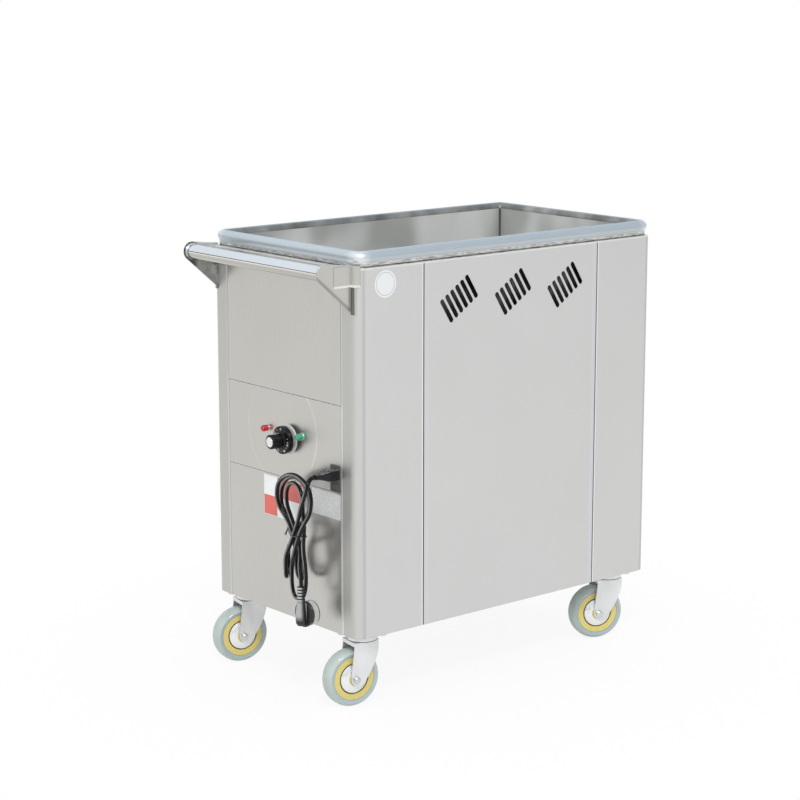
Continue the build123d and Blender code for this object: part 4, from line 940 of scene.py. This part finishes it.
def add_tie():
    """A wire tie: one turn of thin coated wire round the hank, with its two ends twisted together."""
    wire_r, wave = 0.0009, 0.0012
    reach = CORD_D / 2 + wire_r
    spots = [Vector((FRONT_X - out / 1000, y / 1000)) for out, y, _ in PASSES]
    ring = []
    for step in range(64):
        away = Vector((cos(step * pi / 32), sin(step * pi / 32)))
        spot = max(spots, key=away.dot) + away * reach
        ring.append(Vector((*spot, TIE_Z + wave * sin(step * pi / 16))))
    built = bmesh.new()
    wires = [bent_wire(ring, wire_r, closed=True)]
    knot = max(ring, key=lambda point: point.y)
    heading = Vector((-0.1, 0.42, -0.9)).normalized()
    side = heading.cross(Vector((1, 0, 0))).normalized()
    other = heading.cross(side)
    steps, splayed_from, pitch, splay = 49, 40, 0.0004, 0.0001
    for strand in (0, pi):
        turns = []
        for step in range(steps):
            angle = strand + step * pi / 8
            twist_r = wire_r + splay * max(0, step - splayed_from)
            sideways = (side * cos(angle) + other * sin(angle)) * twist_r
            turns.append(knot + heading * (pitch * step) + sideways)
        wires.append(bent_wire(turns, wire_r * 0.8))
    for mesh in wires:
        take_in(built, mesh)
    made = add_piece("wire_tie", built, "cabinet", plastic["cord"])
    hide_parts("cord_tie")


add_labels()
add_knob_scale()
add_tie()


# Floor, world and lights

def add_floor():
    """A pale floor that keeps the cart's soft shadow and turns to white away from it."""
    mesh = bpy.data.meshes.new("floor")
    built = bmesh.new()
    bmesh.ops.create_grid(built, x_segments=1, y_segments=1, size=40)
    built.to_mesh(mesh)
    built.free()
    floor = bpy.data.objects.new("floor", mesh)
    scene.collection.objects.link(floor)
    shader = Shader("floor")
    shader.surface.inputs["Roughness"].default_value = 0.9
    shader.surface.inputs["Specular IOR Level"].default_value = 0.1
    tone = shader.mix(shader.patches((6, 6, 6), 0, 1), grey(0.88), grey(0.89))
    shader.set(shader.surface.inputs["Base Color"], tone)
    rays = shader.node("ShaderNodeLightPath").outputs
    glow = shader.mix(rays["Is Camera Ray"], rgba((0.965, 0.957, 0.935)), grey(1.0))
    white = shader.node("ShaderNodeEmission", Color=glow, Strength=1.0)
    distance = shader.vector("LENGTH", shader.place, output="Value")
    far_seen = shader.spread(distance, 0.90, 1.0, start=0.35, stop=0.9)
    far_mirrored = shader.spread(distance, 0.6, 1.0, start=0.4, stop=1.3)
    in_view = shader.both(rays["Is Camera Ray"], far_seen)
    in_gloss = shader.both(rays["Is Glossy Ray"], far_mirrored)
    mixed = shader.node("ShaderNodeMixShader")
    shader.set(mixed.inputs[0], shader.math("MAXIMUM", in_view, in_gloss))
    shader.set(mixed.inputs[1], shader.surface.outputs[0])
    shader.set(mixed.inputs[2], white.outputs[0])
    shader.set(shader.tree.nodes["Material Output"].inputs["Surface"], mixed.outputs[0])
    mesh.materials.append(shader.material)


def add_world():
    """White to the camera. In reflections a studio, bluish above, brighter left, dark at the horizon."""
    world = bpy.data.worlds.new("studio")
    scene.world = world
    world.use_nodes = True
    nodes_of = Nodes(world.node_tree)
    direction = nodes_of.node("ShaderNodeTexCoord").outputs["Generated"]
    part = nodes_of.node("ShaderNodeSeparateXYZ", Vector=direction).outputs
    leftwards = nodes_of.math("SUBTRACT", part["Y"], part["X"])
    leftwards = nodes_of.spread(leftwards, 0, 1, start=-0.9, stop=0.9, smooth=True)
    upper = nodes_of.spread(part["Z"], 0, 1, start=0.12, stop=0.32, smooth=True)
    horizon = nodes_of.spread(part["Z"], 0, 1, start=0.05, stop=0.14, smooth=True)
    sky = nodes_of.mix(leftwards, rgba((0.56, 0.66, 0.74)), rgba((0.86, 0.93, 1.0)))
    sky = nodes_of.mix(upper, rgba((0.92, 0.93, 0.93)), sky)
    sky = nodes_of.mix(horizon, grey(0.04), sky)
    rays = nodes_of.node("ShaderNodeLightPath").outputs
    lit = nodes_of.mix(rays["Is Glossy Ray"], rgba((0.80, 0.81, 0.83)), sky)
    seen = nodes_of.mix(rays["Is Camera Ray"], lit, grey(1.0))
    nodes_of.set(world.node_tree.nodes["Background"].inputs["Color"], seen)


def add_light(name, place, target, size, power):
    """A rectangular light of so many watts that points at its target."""
    data = bpy.data.lights.new(name, "AREA")
    data.shape = "RECTANGLE"
    data.size, data.size_y = size
    data.energy = power
    light = bpy.data.objects.new(name, data)
    light.location = place
    light.rotation_euler = (Vector(target) - Vector(place)).to_track_quat("-Z", "Y").to_euler()
    scene.collection.objects.link(light)


add_floor()
add_world()
add_light("key", (-1.6, -2.1, 2.8), (0, 0, 0.4), (0.8, 0.6), 42)

scene.view_settings.view_transform = "Standard"
